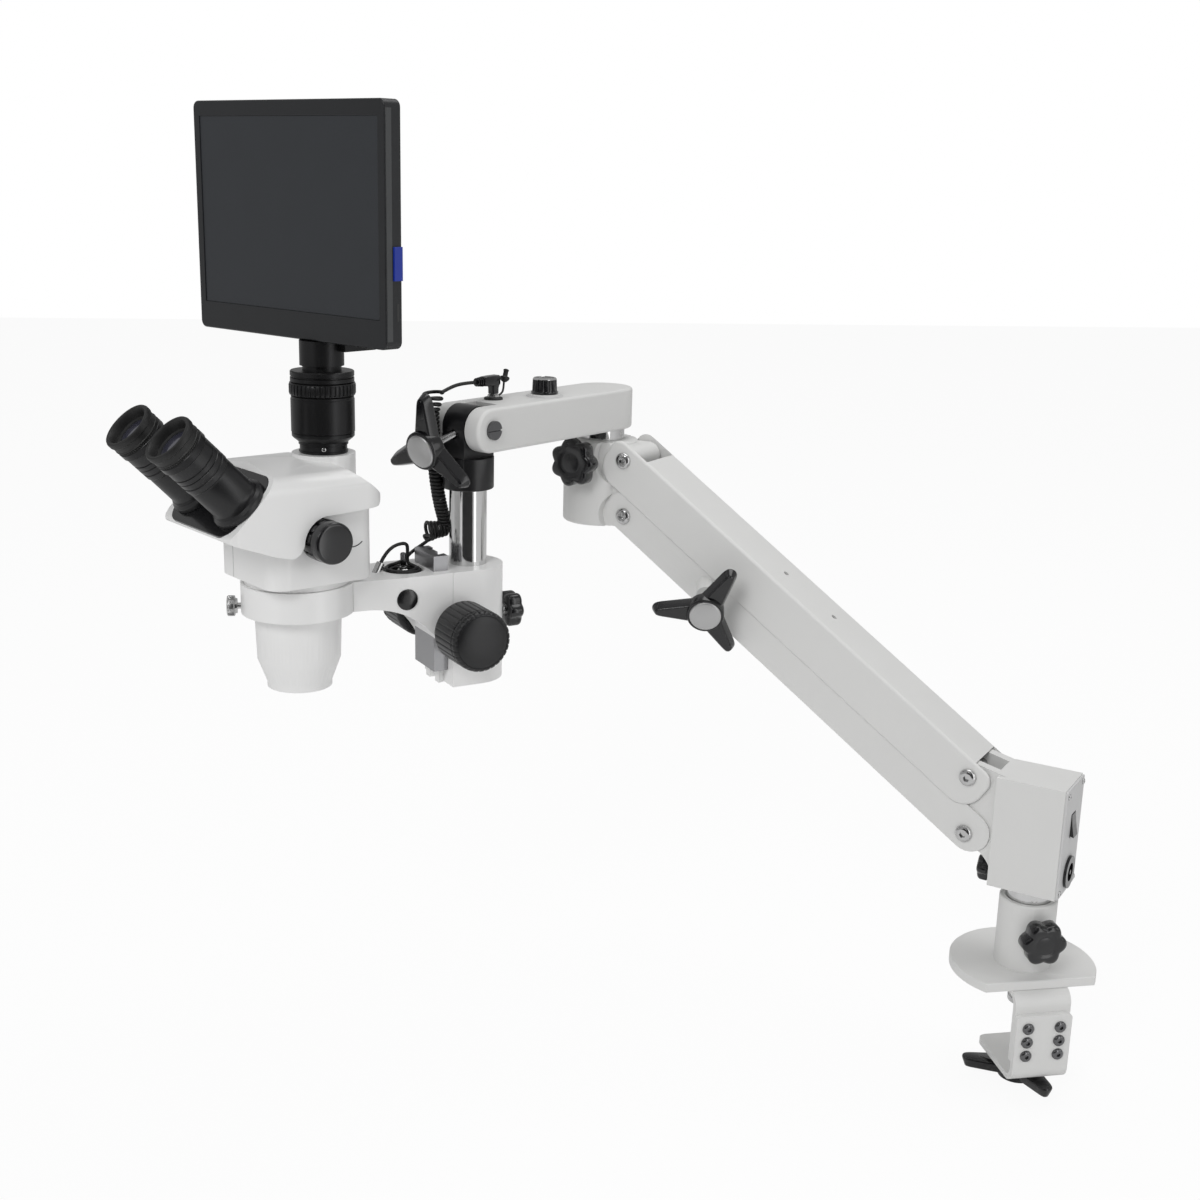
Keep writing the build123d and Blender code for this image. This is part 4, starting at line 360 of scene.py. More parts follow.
def finishPiece(name, shape, where, looks, body, standsFor=(), crease=32, edge=0.0):
    bmesh.ops.remove_doubles(shape, verts=shape.verts, dist=1e-4)
    bmesh.ops.recalc_face_normals(shape, faces=shape.faces)
    shape.transform(where @ Matrix.Scale(mm, 4))
    mesh = bpy.data.meshes.new(name)
    shape.to_mesh(mesh)
    shape.free()
    dress(mesh, looks)
    mesh.set_sharp_from_angle(angle=math.radians(crease))
    piece = putIn(name, mesh)
    if edge:
        addEdge(piece, edge * mm, crease)
    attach(piece, body)
    if standsFor:
        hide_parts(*standsFor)
    return piece


def standingFor(node):
    # the body and the replaced nodes of a piece that is drawn in a CAD node's place
    return bodyOf[node], [node]


def addEdge(piece, width, crease):
    bevel = piece.modifiers.new("edge", "BEVEL")
    bevel.width = width
    bevel.segments = 2
    bevel.limit_method = "ANGLE"
    bevel.angle_limit = math.radians(crease)
    bevel.harden_normals = True


# Cords: the route's points stand in metres in the frame of the beam or the carrier
cord = {
    "thickness": 0.0030, "look": "rubberBlack", "perTurn": 12,
    "plugRun": [
        (0.1645, -0.0100, 0.48916), (0.1730, -0.0100, 0.48960), (0.1880, -0.0100, 0.48916),
        (0.2010, -0.0082, 0.4870),
    ],
    "curlAxis": [(0.2105, -0.0160, 0.4850), (0.2090, -0.0205, 0.4050)],
    "curlTurns": [(0.0085, 0.0052), (0.0078, 0.0050), (0.0064, 0.0044), (0.0052, 0.0036)],
    "curlRadius": 0.0046, "curlPitch": 0.0034,
    "knotAxis": [(0.0085, -0.0240, 0.3630), (0.0165, -0.0242, 0.3628), (0.0290, -0.0242, 0.3615)],
    "knotTurns": [
        (0.0050, 0.0034), (0.0060, 0.0034), (0.0064, 0.0033), (0.0064, 0.0033), (0.0070, 0.0034),
        (0.0080, 0.0034),
    ],
    "drop": [
        (0.0255, -0.0158, 0.3590), (0.0320, -0.0185, 0.3530), (0.0400, -0.0245, 0.3460),
        (0.0470, -0.0215, 0.3425),
    ],
    "coilEntry": (0.0520, -0.0150, 0.3410), "coilCentre": (0.0600, 0.0), "coilTop": 0.3387,
    "coilPitch": 0.0031, "coilTurns": 3, "coilOuter": 0.0146, "coilInner": 0.0113,
    "tail": [
        (0.0525, -0.0095, 0.3402), (0.0518, -0.0095, 0.3490), (0.0525, -0.0095, 0.35816),
        (0.0720, -0.0050, 0.35516), (0.0797, -0.0018, 0.34366),
    ],
}


def splineOf(name, places, thickness):
    data = bpy.data.curves.new(name, "CURVE")
    data.dimensions = "3D"
    data.resolution_u = 5
    data.bevel_depth = thickness / 2
    data.bevel_resolution = 3
    data.use_fill_caps = thickness > 0
    spline = data.splines.new("NURBS")
    spline.points.add(len(places) - 1)
    for point, place in zip(spline.points, places):
        point.co = (*place, 1)
    spline.order_u = 3
    spline.use_endpoint_u = True
    return bpy.data.objects.new(name, data)


def meshOf(curve):
    mesh = bpy.data.meshes.new_from_object(curve)
    bpy.data.objects.remove(curve)
    return mesh


def layLine(name, places, thickness, look, body):
    mesh = meshOf(splineOf(name, places, thickness * mm))
    mesh.materials.clear()
    dress(mesh, [look])
    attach(putIn(name, mesh), body)


def lineThrough(places):
    # places read from the spline that has these control points
    mesh = meshOf(splineOf("line", places, 0.0))
    line = [vertex.co.copy() for vertex in mesh.vertices]
    bpy.data.meshes.remove(mesh)
    return line


def woundRound(line, turns, side):
    # points of the winding: turns holds (radius, pitch) for each turn, side is the way to the first point
    perTurn = cord["perTurn"]
    spans = [(after - before).length for before, after in zip(line, line[1:])]
    total, travelled, places = sum(spans), 0.0, []
    for turn, (radius, pitch) in enumerate(turns):
        nextRadius = turns[turn + 1][0] if turn + 1 < len(turns) else radius
        for step in range(perTurn):
            rest, place = min(travelled, total), 0
            while place < len(spans) - 1 and rest > spans[place]:
                rest -= spans[place]
                place += 1
            along = (line[place + 1] - line[place]).normalized()
            centre = line[place] + along * rest
            out = (side - along * side.dot(along)).normalized()
            turnAngle = 2 * math.pi * step / perTurn
            reach = radius + (nextRadius - radius) * step / perTurn
            spoke = out * math.cos(turnAngle) + out.cross(along) * math.sin(turnAngle)
            places.append(centre + spoke * reach)
            travelled += pitch / perTurn
    return places


def runLength(line):
    return sum((after - before).length for before, after in zip(line, line[1:]))


def finishCord(name, places, body, standsFor, bodies=None, withPieces=()):
    # a cord within one body stays a curve on that body, one that crosses a joint becomes a plain mesh in place
    # that rides on no body
    curve = splineOf(name, places, cord["thickness"])
    line = lineThrough(places)
    if bodies:
        mesh = meshOf(curve)
        mesh.materials.clear()
        dress(mesh, [cord["look"]])
        piece = putIn(name, mesh)
        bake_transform(piece)
    else:
        piece = curve
        bpy.context.scene.collection.objects.link(piece)
        piece.data.materials.append(finishes[cord["look"]])
        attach(piece, body)
    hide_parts(*standsFor)
    return line[-1]


# Power plug with its ribbed relief, and the ring of its socket, in the beam's frame
plug = {
    "x": 141.5, "y": -10.0, "top": 472.66, "axis": 489.16, "flange": 8.2, "body": 4.4, "stem": 3.6,
    "bodyEnd": 14.5, "reliefEnd": 23.2, "rib": 4.4, "throat": 2.3, "ribs": 4,
}


def roundedOutline(halfWide, halfHigh, corner, steps=6):
    places = []
    for x, y, start in ((1, 1, 0), (-1, 1, 90), (-1, -1, 180), (1, -1, 270)):
        for step in range(steps + 1):
            angle = math.radians(start + 90 * step / steps)
            across = x * (halfWide - corner) + corner * math.cos(angle)
            places.append((across, y * (halfHigh - corner) + corner * math.sin(angle)))
    return places


def makePlug():
    size = plug
    x, y, top, axis = size["x"], size["y"], size["top"], size["axis"]
    upright = beamFrame @ Matrix.Translation(Vector((x, y, 0)) * mm)
    stem = bmesh.new()
    outlined(stem, roundedOutline(size["stem"], size["stem"], 1.6), [
        (0.2, axis - 11.5), (0, axis - 11.2), (-0.1, axis - 6.5), (-0.9, axis - 4.0), (-0.9, axis),
    ])
    stemPiece = finishPiece("plug_stem", stem, upright, ["mouldedBlack"], "beam", ["dc_plug"])
    body = bmesh.new()
    half = size["body"]
    outlined(body, roundedOutline(half, half, 1.8), [
        (1.2, -half - 0.4), (0.4, -half - 0.2), (0, -half + 0.5), (0, 6), (0.3, size["bodyEnd"] - 2),
        (0.5, size["bodyEnd"] - 0.4), (0.9, size["bodyEnd"]),
    ])
    rib, throat, low = size["rib"], size["throat"], size["bodyEnd"] - 0.5
    pitch = (size["reliefEnd"] - low) / size["ribs"]
    profile = [(0, low), (rib - 0.4, low)]
    for place in range(size["ribs"]):
        start = low + place * pitch
        reach = rib - 0.25 * place
        profile += [
            (reach - 0.3, start + 0.15), (reach, start + 0.4), (reach, start + 1.1),
            (reach - 0.3, start + 1.4), (throat, start + 1.5), (throat, start + pitch - 0.05),
        ]
    turned(body, profile + [(1.2, size["reliefEnd"]), (0, size["reliefEnd"])], 32)
    lying = upright @ Matrix.Translation((0, 0, axis * mm)) @ Matrix.Rotation(math.radians(90), 4, "Y")
    bodyPiece = finishPiece("plug_body", body, lying, ["mouldedBlack"], "beam", crease=30)
    socket = bmesh.new()
    flange = size["flange"]
    turned(socket, [
        (0, top - 0.1), (flange, top - 0.1), (flange, top + 1.2), (flange - 0.6, top + 1.9),
        (flange - 2.2, top + 2.1), (flange - 2.6, top + 2.1), (0, top + 2.1),
    ], 64)
    turned(socket, [
        (0, top + 2), (5.2, top + 2), (5.2, top + 3.6), (4.7, top + 4.3), (3.8, top + 4.6),
        (3.8, top + 5.1), (0, top + 5.1),
    ], 6, look=1)
    finishPiece(
        "power_socket_ring", socket, upright, ["rubberBlack", "boltChrome"], "beam", ["power_socket"],
        crease=25,
    )
    return [stemPiece, bodyPiece]


def makeCords():
    plugRun = [beamFrame @ Vector(place) for place in cord["plugRun"]]
    knotAxis = [carrierFrame @ Vector(place) for place in cord["knotAxis"]]
    axis = lineThrough([beamFrame @ Vector(place) for place in cord["curlAxis"]] + [knotAxis[0]])
    loose, radius, pitch = cord["curlTurns"], cord["curlRadius"], cord["curlPitch"]
    tight = int((runLength(axis) - sum(step for _, step in loose)) / pitch)
    near = beamFrame.to_3x3() @ Vector((0, 1, 0))
    curl = woundRound(axis, loose + [(radius, pitch)] * tight, near)
    curlEnd = finishCord("curly_lead", plugRun + curl, None, ["upper_lead", "curly_cord"],
                         ("beam", "knuckle"), makePlug())
    down = carrierFrame.to_3x3() @ Vector((0, -1, 0))
    knot = woundRound(lineThrough(knotAxis), cord["knotTurns"], down)
    drop = [carrierFrame @ Vector(place) for place in cord["drop"]]
    knotEnd = finishCord(
        "knot_turns", [curlEnd] + knot + [drop[0]], "pole", ["cord_knot"],
    )
    entry = carrierFrame @ Vector(cord["coilEntry"])
    finishCord("drop_lead", [knotEnd] + drop[1:] + [entry], None, ["lower_lead"],
               ("collar", "focus_slide"))
    x, y = cord["coilCentre"]
    startX, startY = cord["coilEntry"][0] - x, cord["coilEntry"][1] - y
    start = math.atan2(startY, startX)
    steps = cord["perTurn"] * cord["coilTurns"]
    coilHeight = cord["coilTurns"] * cord["coilPitch"]
    coil = [entry]
    for layer, reach in ((0, cord["coilOuter"]), (1, cord["coilInner"])):
        for step in range(1, steps):
            angle = start + 2 * math.pi * step / cord["perTurn"]
            fall = cord["coilPitch"] * step / cord["perTurn"]
            height = cord["coilTop"] - fall if layer == 0 else cord["coilTop"] - coilHeight + fall
            place = Vector((x + reach * math.cos(angle), y + reach * math.sin(angle), height))
            coil.append(carrierFrame @ place)
    tail = [carrierFrame @ Vector(place) for place in cord["tail"]]
    finishCord("coiled_lead", coil + tail, "focus_slide", ["lead_coil", "tail_lead"])


makeCords()
print("cords laid")


# Cast and moulded CAD nodes get a merged copy with rounded edges
roundedEdges = {"crease": 32, "widths": {
    "zoom_body": 0.8, "head_shell": 0.9, "ring_arm": 1.0, "collar": 1.0, "beam": 1.4, "elbow_casting": 1.0,
    "shoulder_housing": 0.9, "upper_arm_cover": 0.45, "lower_arm_channel": 0.45, "base_column": 1.0,
    "upper_jaw": 0.8, "lower_jaw": 0.8, "knuckle": 0.8, "rear_panel": 0.3, "focus_slide": 0.3,
    "monitor_frame": 0.8, "camera_block": 0.8, "eyetube_plate": 0.6, "jaw_pad": 0.5,
}}


def roundNode(node, width):
    shape = bmesh.new()
    shape.from_mesh(nodes[node].data)
    bmesh.ops.remove_doubles(shape, verts=shape.verts, dist=2e-6)
    bmesh.ops.dissolve_limit(shape, angle_limit=math.radians(0.5), verts=shape.verts, edges=shape.edges)
    mesh = bpy.data.meshes.new(node + "_rounded")
    shape.to_mesh(mesh)
    shape.free()
    mesh.materials.clear()
    dress(mesh, [nodeFinish[node]])
    mesh.set_sharp_from_angle(angle=math.radians(roundedEdges["crease"]))
    piece = putIn(node + "_rounded", mesh)
    addEdge(piece, width * mm, roundedEdges["crease"])
    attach(piece, bodyOf[node])
    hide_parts(node)
    return piece


for roundedNode, edgeWidth in roundedEdges["widths"].items():
    roundNode(roundedNode, edgeWidth)
print("edges rounded:", len(roundedEdges["widths"]))


# Star handles: three tapered arms with sloped sides, a hub ring and a bright cap disc
starHandle = {
    "reach": 41.0, "tip": 6.5, "root": 13.0, "hub": 16.5, "hubTop": 13.0, "arm": 10.0, "cap": 13.9,
    "capTop": 14.4, "slope": 2.4, "sleeve": 9.0, "steps": 360,
    "handles": {
        "jaw_handle": ("jaw_turn", -1, 5.0, 0), "arm_lock_handle": ("arm_lock", 1, 3.0, 26),
        "knuckle_handle": ("knuckle_lock", 1, 3.0, 0),
    },
}


def tipAngle(node, where):
    # direction of the point of a CAD node that is farthest from its axis
    back = where.inverted()
    spots = [back @ vertex.co for vertex in nodes[node].data.vertices]
    far = max(spots, key=lambda spot: spot.x ** 2 + spot.y ** 2)
    reach = math.hypot(far.x, far.y)
    rim = [spot for spot in spots if math.hypot(spot.x, spot.y) > reach - 0.25 * mm]
    near = [
        spot for spot in rim
        if (spot - far).length < 12 * mm or math.hypot(spot.x - far.x, spot.y - far.y) < 6 * mm
    ]
    return math.atan2(sum(spot.y for spot in near), sum(spot.x for spot in near))


def starOutline(turn):
    size = starHandle
    taper = (size["root"] - size["tip"]) / size["reach"]
    reaches = []
    for step in range(size["steps"]):
        best = size["hub"]
        for arm in range(3):
            angle = 2 * math.pi * (step / size["steps"] - arm / 3) - turn
            away = abs((angle + math.pi) % (2 * math.pi) - math.pi)
            if away > math.radians(75):
                continue
            reach = size["root"] / (math.sin(away) + taper * math.cos(away))
            if reach * math.cos(away) > size["reach"]:
                inside = size["tip"] ** 2 - (size["reach"] * math.sin(away)) ** 2
                reach = size["reach"] * math.cos(away) + math.sqrt(max(0.0, inside))
            best = max(best, reach)
        reaches.append(best)
    count = len(reaches)
    smooth = [sum(reaches[(place + shift) % count] for shift in range(-2, 3)) / 5 for place in range(count)]
    return [
        (reach * math.cos(2 * math.pi * place / count), reach * math.sin(2 * math.pi * place / count))
        for place, reach in enumerate(smooth)
    ]


def makeStarHandle(node, joint, sign, screw, turn):
    size = starHandle
    where = seatFrame(placeOf(joint), wayOf(joint) * sign)
    low, high = reachOf(node, where)
    base = high[2] - size["hubTop"] - 1.6
    arm, slope = size["arm"], size["slope"]
    shape = bmesh.new()
    outlined(shape, starOutline(tipAngle(node, where) + math.radians(turn)), [
        (1.4, base), (0.3, base + 0.5), (0, base + 1.4), (0.4, base + 3), (slope, base + arm - 1.8),
        (slope + 0.5, base + arm - 0.7), (slope + 1.5, base + arm),
    ])
    hub, top, cap = size["hub"], base + size["hubTop"], size["cap"]
    turned(shape, [
        (0, base + 0.5), (hub - 1, base + 0.5), (hub, base + 1.5), (hub, top - 1.2), (hub - 0.5, top - 0.3),
        (hub - 1.1, top), (cap + 0.35, top), (cap + 0.2, top - 0.8), (0, top - 0.8),
    ], 72)
    capTop = base + size["capTop"]
    turned(shape, [
        (0, top - 0.8), (cap, top - 0.8), (cap, capTop - 0.9), (cap - 0.5, capTop - 0.3),
        (cap - 1.3, capTop), (0, capTop),
    ], 72, look=1)
    sleeve = size["sleeve"]
    turned(shape, [
        (0, base - 2.4), (sleeve - 0.6, base - 2.4), (sleeve, base - 1.8), (sleeve, base + 0.6),
        (0, base + 0.6),
    ], 48)
    thread = [(screw * 0.86, low[2] + 0.8)]
    for ridge in range(int((base - low[2] - 3) / 1.25)):
        height = low[2] + 1.2 + ridge * 1.25
        thread += [(screw, height), (screw * 0.86, height + 0.62)]
    turned(shape, [
        (0, low[2]), (screw * 0.7, low[2]), *thread, (screw * 0.86, base), (0, base),
    ], 28, look=2)
    return finishPiece(
        node + "_star", shape, where, ["mouldedBlack", "capDisc", "turnedSteel"], *standingFor(node),
    )


for starNode, starFacts in starHandle["handles"].items():
    makeStarHandle(starNode, *starFacts)
print("star handles made")

# Lobed lock knobs
lobedKnob = {"bossShare": 0.4, "scallop": 0.17, "boss": 3.0, "stud": 3.0, "steps": 168, "knobs": {
    "column_lock_knob": ("column_lock", 6, 19.5, 15.5),
    "shoulder_lock_knob": ("shoulder_lock", 6, 13.0, 11.0),
    "elbow_lock_knob": ("elbow_lock", 7, 22.5, 15.5), "collar_lock_knob": ("collar_lock", 6, 16.0, 14.0),
}}


def lobeWave(lobes, tip):
    # broad lobes with rounded scallops between them
    depth = lobedKnob["scallop"] * tip

    def wave(angle):
        rise = (1 + math.cos(lobes * angle)) / 2
        return depth * (rise ** 0.7 - 1)
    return wave


def makeLobedKnob(node, joint, lobes, tip, thickness):
    where = seatFrame(placeOf(joint), wayOf(joint))
    low, high = reachOf(node, where)
    top, base = high[2], high[2] - thickness
    wave = lobeWave(lobes, tip)
    shape = bmesh.new()
    profile = [
        (0, base), (tip * 0.55, base), (tip - 2.4, base + 0.2, 0.95), (tip - 0.9, base + 0.9, 1),
        (tip, base + 2.6, 1), (tip, top - 3.6, 1), (tip - 0.35, top - 2.4, 1), (tip - 1.1, top - 1.3, 0.98),
        (tip - 2.3, top - 0.5, 0.95), (tip - 4.0, top - 0.05, 0.85), (tip * 0.66, top, 0.35),
        (tip * 0.5, top - 0.35, 0.05), (tip * 0.42, top - 0.9), (tip * 0.36, top - 0.7),
        (tip * 0.2, top - 0.4), (0, top - 0.3),
    ]
    turned(shape, profile, lobedKnob["steps"], wave)
    boss = tip * lobedKnob["bossShare"]
    turned(shape, [
        (0, base - lobedKnob["boss"]), (boss - 0.5, base - lobedKnob["boss"]),
        (boss, base - lobedKnob["boss"] + 0.5), (boss, base + 0.5), (0, base + 0.5),
    ], 40, look=1)
    stud = lobedKnob["stud"]
    thread = []
    for turn in range(int((base - low[2] - 1.5) / 1.0)):
        height = low[2] + 0.8 + turn
        thread += [(stud, height), (stud * 0.86, height + 0.5)]
    turned(shape, [(0, low[2]), (stud * 0.8, low[2]), *thread, (stud * 0.86, base), (0, base)], 24, look=1)
    finishPiece(
        node + "_lobed", shape, where, ["mouldedBlack", "turnedSteel"], *standingFor(node), crease=40,
    )


for lobedNode, lobedFacts in lobedKnob["knobs"].items():
    makeLobedKnob(lobedNode, *lobedFacts)
print("lock knobs made")

# Focus knobs: broad ribs with narrow grooves, a ring groove and a domed face
focusKnob = {"radius": 26.0, "start": 37.0, "face": 82.0, "ribs": 30, "groove": 0.85, "grooveShare": 0.26}


def ribWave(ribs, depth, grooveShare):
    # a narrow rounded groove between broad ribs
    def wave(angle):
        place = (angle * ribs / (2 * math.pi)) % 1.0
        away = abs(place - 0.5) * 2
        edge = 1 - grooveShare
        fall = min(1.0, (away - edge) / (grooveShare * 0.6))
        return 0.0 if away < edge else -depth * math.sin(math.pi / 2 * fall)
    return wave


def makeFocusKnobs():
    size = focusKnob
    radius, start, face = size["radius"], size["start"], size["face"]
    wave = ribWave(size["ribs"], size["groove"], size["grooveShare"])
    for side, turn in (("near", 0), ("far", 180)):
        seat = seatFrame(placeOf("focus_turn"), wayOf("focus_turn"))
        where = seat @ Matrix.Rotation(math.radians(turn), 4, "X")
        shape = bmesh.new()
        turned(shape, [
            (0, start), (radius - 5, start), (radius - 4.6, start + 1.2), (radius - 2.6, start + 1.6),
            (radius - 1.4, start + 2), (radius - 0.4, start + 3.2), (radius, start + 4.4, 0.4),
            (radius, start + 6, 1), (radius, face - 11, 1), (radius - 0.1, face - 9.6, 1),
            (radius - 1.3, face - 9, 0.3), (radius - 1.3, face - 8.2, 0.3), (radius - 0.1, face - 7.8, 1),
            (radius, face - 7, 1), (radius - 0.3, face - 4.5, 1), (radius - 1.2, face - 3, 0.9),
            (radius - 2.4, face - 2.1, 0.4), (radius - 3.2, face - 1.9), (radius - 3.7, face - 2.3),
            (radius - 4.3, face - 1.9), (radius - 7, face - 1.2), (radius - 11, face - 0.5),
            (radius - 17, face - 0.1), (radius - 22, face), (0, face),
        ], 300, wave)
        finishPiece(
            "focus_knob_" + side, shape, where, ["gripBlack"], *standingFor("focus_knobs"),
            crease=50,
        )


makeFocusKnobs()

# Zoom knobs: wide pads round the middle, a smooth cap
zoomKnob = {
    "radius": 17.0, "start": 47.0, "face": 71.0, "pads": 12, "depth": 1.3, "stub": 5.0, "inner": 40.0,
}


def makeZoomKnobs():
    size = zoomKnob
    radius, start, face = size["radius"], size["start"], size["face"]
    wave = ribWave(size["pads"], size["depth"], 0.34)
    for side, turn in (("near", 0), ("far", 180)):
        seat = seatFrame(placeOf("zoom_turn"), wayOf("zoom_turn"))
        where = seat @ Matrix.Rotation(math.radians(turn), 4, "X")
        shape = bmesh.new()
        turned(shape, [
            (0, start), (radius - 1.2, start), (radius - 0.2, start + 0.8), (radius - 0.2, start + 3),
            (radius - 0.25, start + 3.2, 1), (radius, start + 4.0, 1), (radius, start + 12.6, 1),
            (radius - 0.25, start + 13.4, 1), (radius - 0.3, start + 13.6), (radius - 0.9, start + 14),
            (radius - 0.9, start + 14.5), (radius - 0.2, start + 14.9), (radius - 0.2, face - 2.4),
            (radius - 0.5, face - 1.4), (radius - 1.1, face - 0.6), (radius - 2.0, face - 0.2),
            (radius - 3.2, face), (0, face),
        ], 288, wave)
        turned(shape, [
            (0, size["inner"]), (size["stub"], size["inner"]), (size["stub"], start + 0.5),
            (0, start + 0.5),
        ], 32)
        finishPiece(
            "zoom_knob_" + side, shape, where, ["mouldedBlack"], *standingFor("zoom_knobs"),
            crease=50,
        )


makeZoomKnobs()
print("focus and zoom knobs made")

# Dimmer knob: fluted skirt, bright bevel and a thin scale plate under it
dimmerKnob = {"radius": 12.0, "foot": 2.4, "flutes": 18, "depth": 0.7, "plate": 16.5}


def makeDimmer():
    size = dimmerKnob
    where = seatFrame(placeOf("dimmer_turn"), Vector((0, 0, 1)))
    low, high = reachOf("dimmer_knob", where)
    radius, foot, top = size["radius"], size["foot"], high[2]
    wave = ribWave(size["flutes"], size["depth"], 0.5)
    shape = bmesh.new()
    turned(shape, [
        (0, foot), (radius - 0.6, foot), (radius, foot + 0.6), (radius, foot + 1.6),
        (radius - 0.9, foot + 2.2, 0.5), (radius - 1.1, foot + 3.5, 1), (radius - 1.4, top - 2.2, 1),
        (radius - 1.5, top - 1.5), (radius - 2.4, top - 0.5), (radius - 3.4, top - 0.5), (0, top - 0.6),
    ], 180, wave)
    turned(shape, [
        (radius - 1.45, top - 1.6), (radius - 1.45, top - 1.2), (radius - 2.3, top - 0.1),
        (radius - 3.0, top), (radius - 3.6, top - 0.3), (radius - 3.6, top - 1.6),
    ], 120, look=1)
    block(shape, (radius - 2.2, -0.35, top - 0.7), (radius - 5.5, 0.35, top - 0.35), look=1)
    turned(shape, [(0, low[2]), (3, low[2]), (3, foot + 0.5), (0, foot + 0.5)], 24, look=1)
    finishPiece(
        "dimmer_knob_fluted", shape, where, ["mouldedBlack", "polishedSteel"], bodyOf["dimmer_knob"],
        ["dimmer_knob"],
    )
    plate = bmesh.new()
    turned(plate, [
        (4, 0.05), (size["plate"], 0.05), (size["plate"], 0.5), (size["plate"] - 0.3, 0.7), (4, 0.7),
        (4, 0.05),
    ], 96)
    finishPiece("dimmer_plate", plate, where, ["panelGrey"], bodyOf["beam"])


makeDimmer()

# Eyepieces and eyetubes, along the tube's axis; heights from the face plate
eyepiece = {"cup": 21.0, "barrel": 19.5, "low": 48.4, "top": 81.4, "spigot": 15.0, "spigotLow": 32.4,
            "teeth": 60}
eyetube = {"radius": 19.5, "waist": 18.6, "foot": 22.8, "top": 48.4}


def makeEyepiece(side):
    size = eyepiece
    where = seatFrame(placeOf("dioptre_" + side), wayOf("dioptre_" + side))
    top, low, barrel, cup = size["top"], size["low"], size["barrel"], size["cup"]
    shape = bmesh.new()
    # rubber cup, hollow
    turned(shape, [
        (13.6, top - 8.5), (15.4, top - 7.6), (16.2, top - 5), (17.0, top - 1.6), (17.9, top - 0.3),
        (19.2, top), (20.4, top - 0.4), (cup, top - 1.6), (cup, top - 4.5), (20.3, top - 5.3),
        (20.1, top - 9.6), (20.5, top - 10), (20.5, top - 10.6), (19.2, top - 11), (13.6, top - 11),
        (13.6, top - 8.5),
    ], 96, look=1)
    teeth = ribWave(size["teeth"], 0.7, 0.5)
    turned(shape, [
        (0, top - 11), (19.4, top - 11), (20.0, top - 11.3, 1), (20.0, top - 12.8, 1), (19.5, top - 13.1),
        (0, top - 13.1),
    ], 360, teeth, look=1)
    # satin ring
    turned(shape, [
        (0, top - 13.0), (19.7, top - 13.0), (20.4, top - 13.6), (20.4, top - 18.6), (19.8, top - 19.2),
        (0, top - 19.2),
    ], 96, look=2)
    # barrel with its grooves
    turned(shape, [
        (0, top - 19), (barrel, top - 19), (barrel, low + 5.6), (barrel - 0.7, low + 5.2),
        (barrel - 0.7, low + 4.4), (barrel, low + 4.0), (barrel, low + 0.5), (barrel - 0.5, low + 0.05),
        (size["spigot"], low + 0.05), (size["spigot"], size["spigotLow"]), (0, size["spigotLow"]),
    ], 96)
    # eye lens
    turned(shape, [
        (0, top - 9.5), (14.0, top - 9.5), (14.0, top - 9.0), (12, top - 8.3), (9, top - 7.7),
        (5, top - 7.3), (0, top - 7.2),
    ], 64, look=3)
    finishPiece(
        "eyepiece_" + side + "_barrel", shape, where,
        ["gripBlack", "rubberBlack", "anodisedBlack", "lensGlass"], *standingFor("eyepiece_" + side),
        crease=28,
    )


def makeEyetube(side):
    size = eyetube
    where = seatFrame(placeOf("dioptre_" + side), wayOf("dioptre_" + side))
    radius, waist, foot, top = size["radius"], size["waist"], size["foot"], size["top"]
    shape = bmesh.new()
    turned(shape, [
        (15.2, 20), (15.2, top - 0.05), (radius - 0.6, top - 0.05), (radius, top - 0.6),
        (radius, top - 4.2), (radius - 0.8, top - 4.8), (radius - 0.8, top - 5.6), (radius, top - 6.2),
        (radius, top - 10), (radius - 0.5, top - 10.5), (waist, top - 11.2), (waist, top - 12.4),
        (waist + 0.3, top - 13), (radius - 0.3, 12), (radius - 0.1, 9.6), (radius + 0.2, 9),
        (radius + 1.2, 7.4), (radius + 1.2, 6.6), (foot - 0.2, 4.4), (foot, 3.4), (foot, 0.6),
        (foot - 0.5, 0.45), (15.2, 0.45), (15.2, 20),
    ], 96)
    # bright ring above the foot
    turned(shape, [
        (radius - 1, 6.7), (radius + 1.3, 6.7), (radius + 1.4, 7.0), (radius + 1.3, 7.5),
        (radius + 0.5, 8.7), (radius - 1, 8.9), (radius - 1, 6.7),
    ], 96, look=1)
    finishPiece(
        "eyetube_" + side + "_tube", shape, where, ["gripBlack", "anodisedBlack"],
        *standingFor("eyetube_" + side), crease=28,
    )


for eyeSide in ("left", "right"):
    makeEyepiece(eyeSide)
    makeEyetube(eyeSide)
print("eyepieces made")

# Camera adapter with its knurled ring, its set screws come with the small screws below; heights from the port's
# rim
adapter = {
    "neck": 19.0, "barrel": 25.5, "neckTop": 9.0, "barrelLow": 14.0, "barrelTop": 46.0, "ringTop": 57.0,
    "top": 66.0, "ribs": 42, "knurl": 26.6,
}


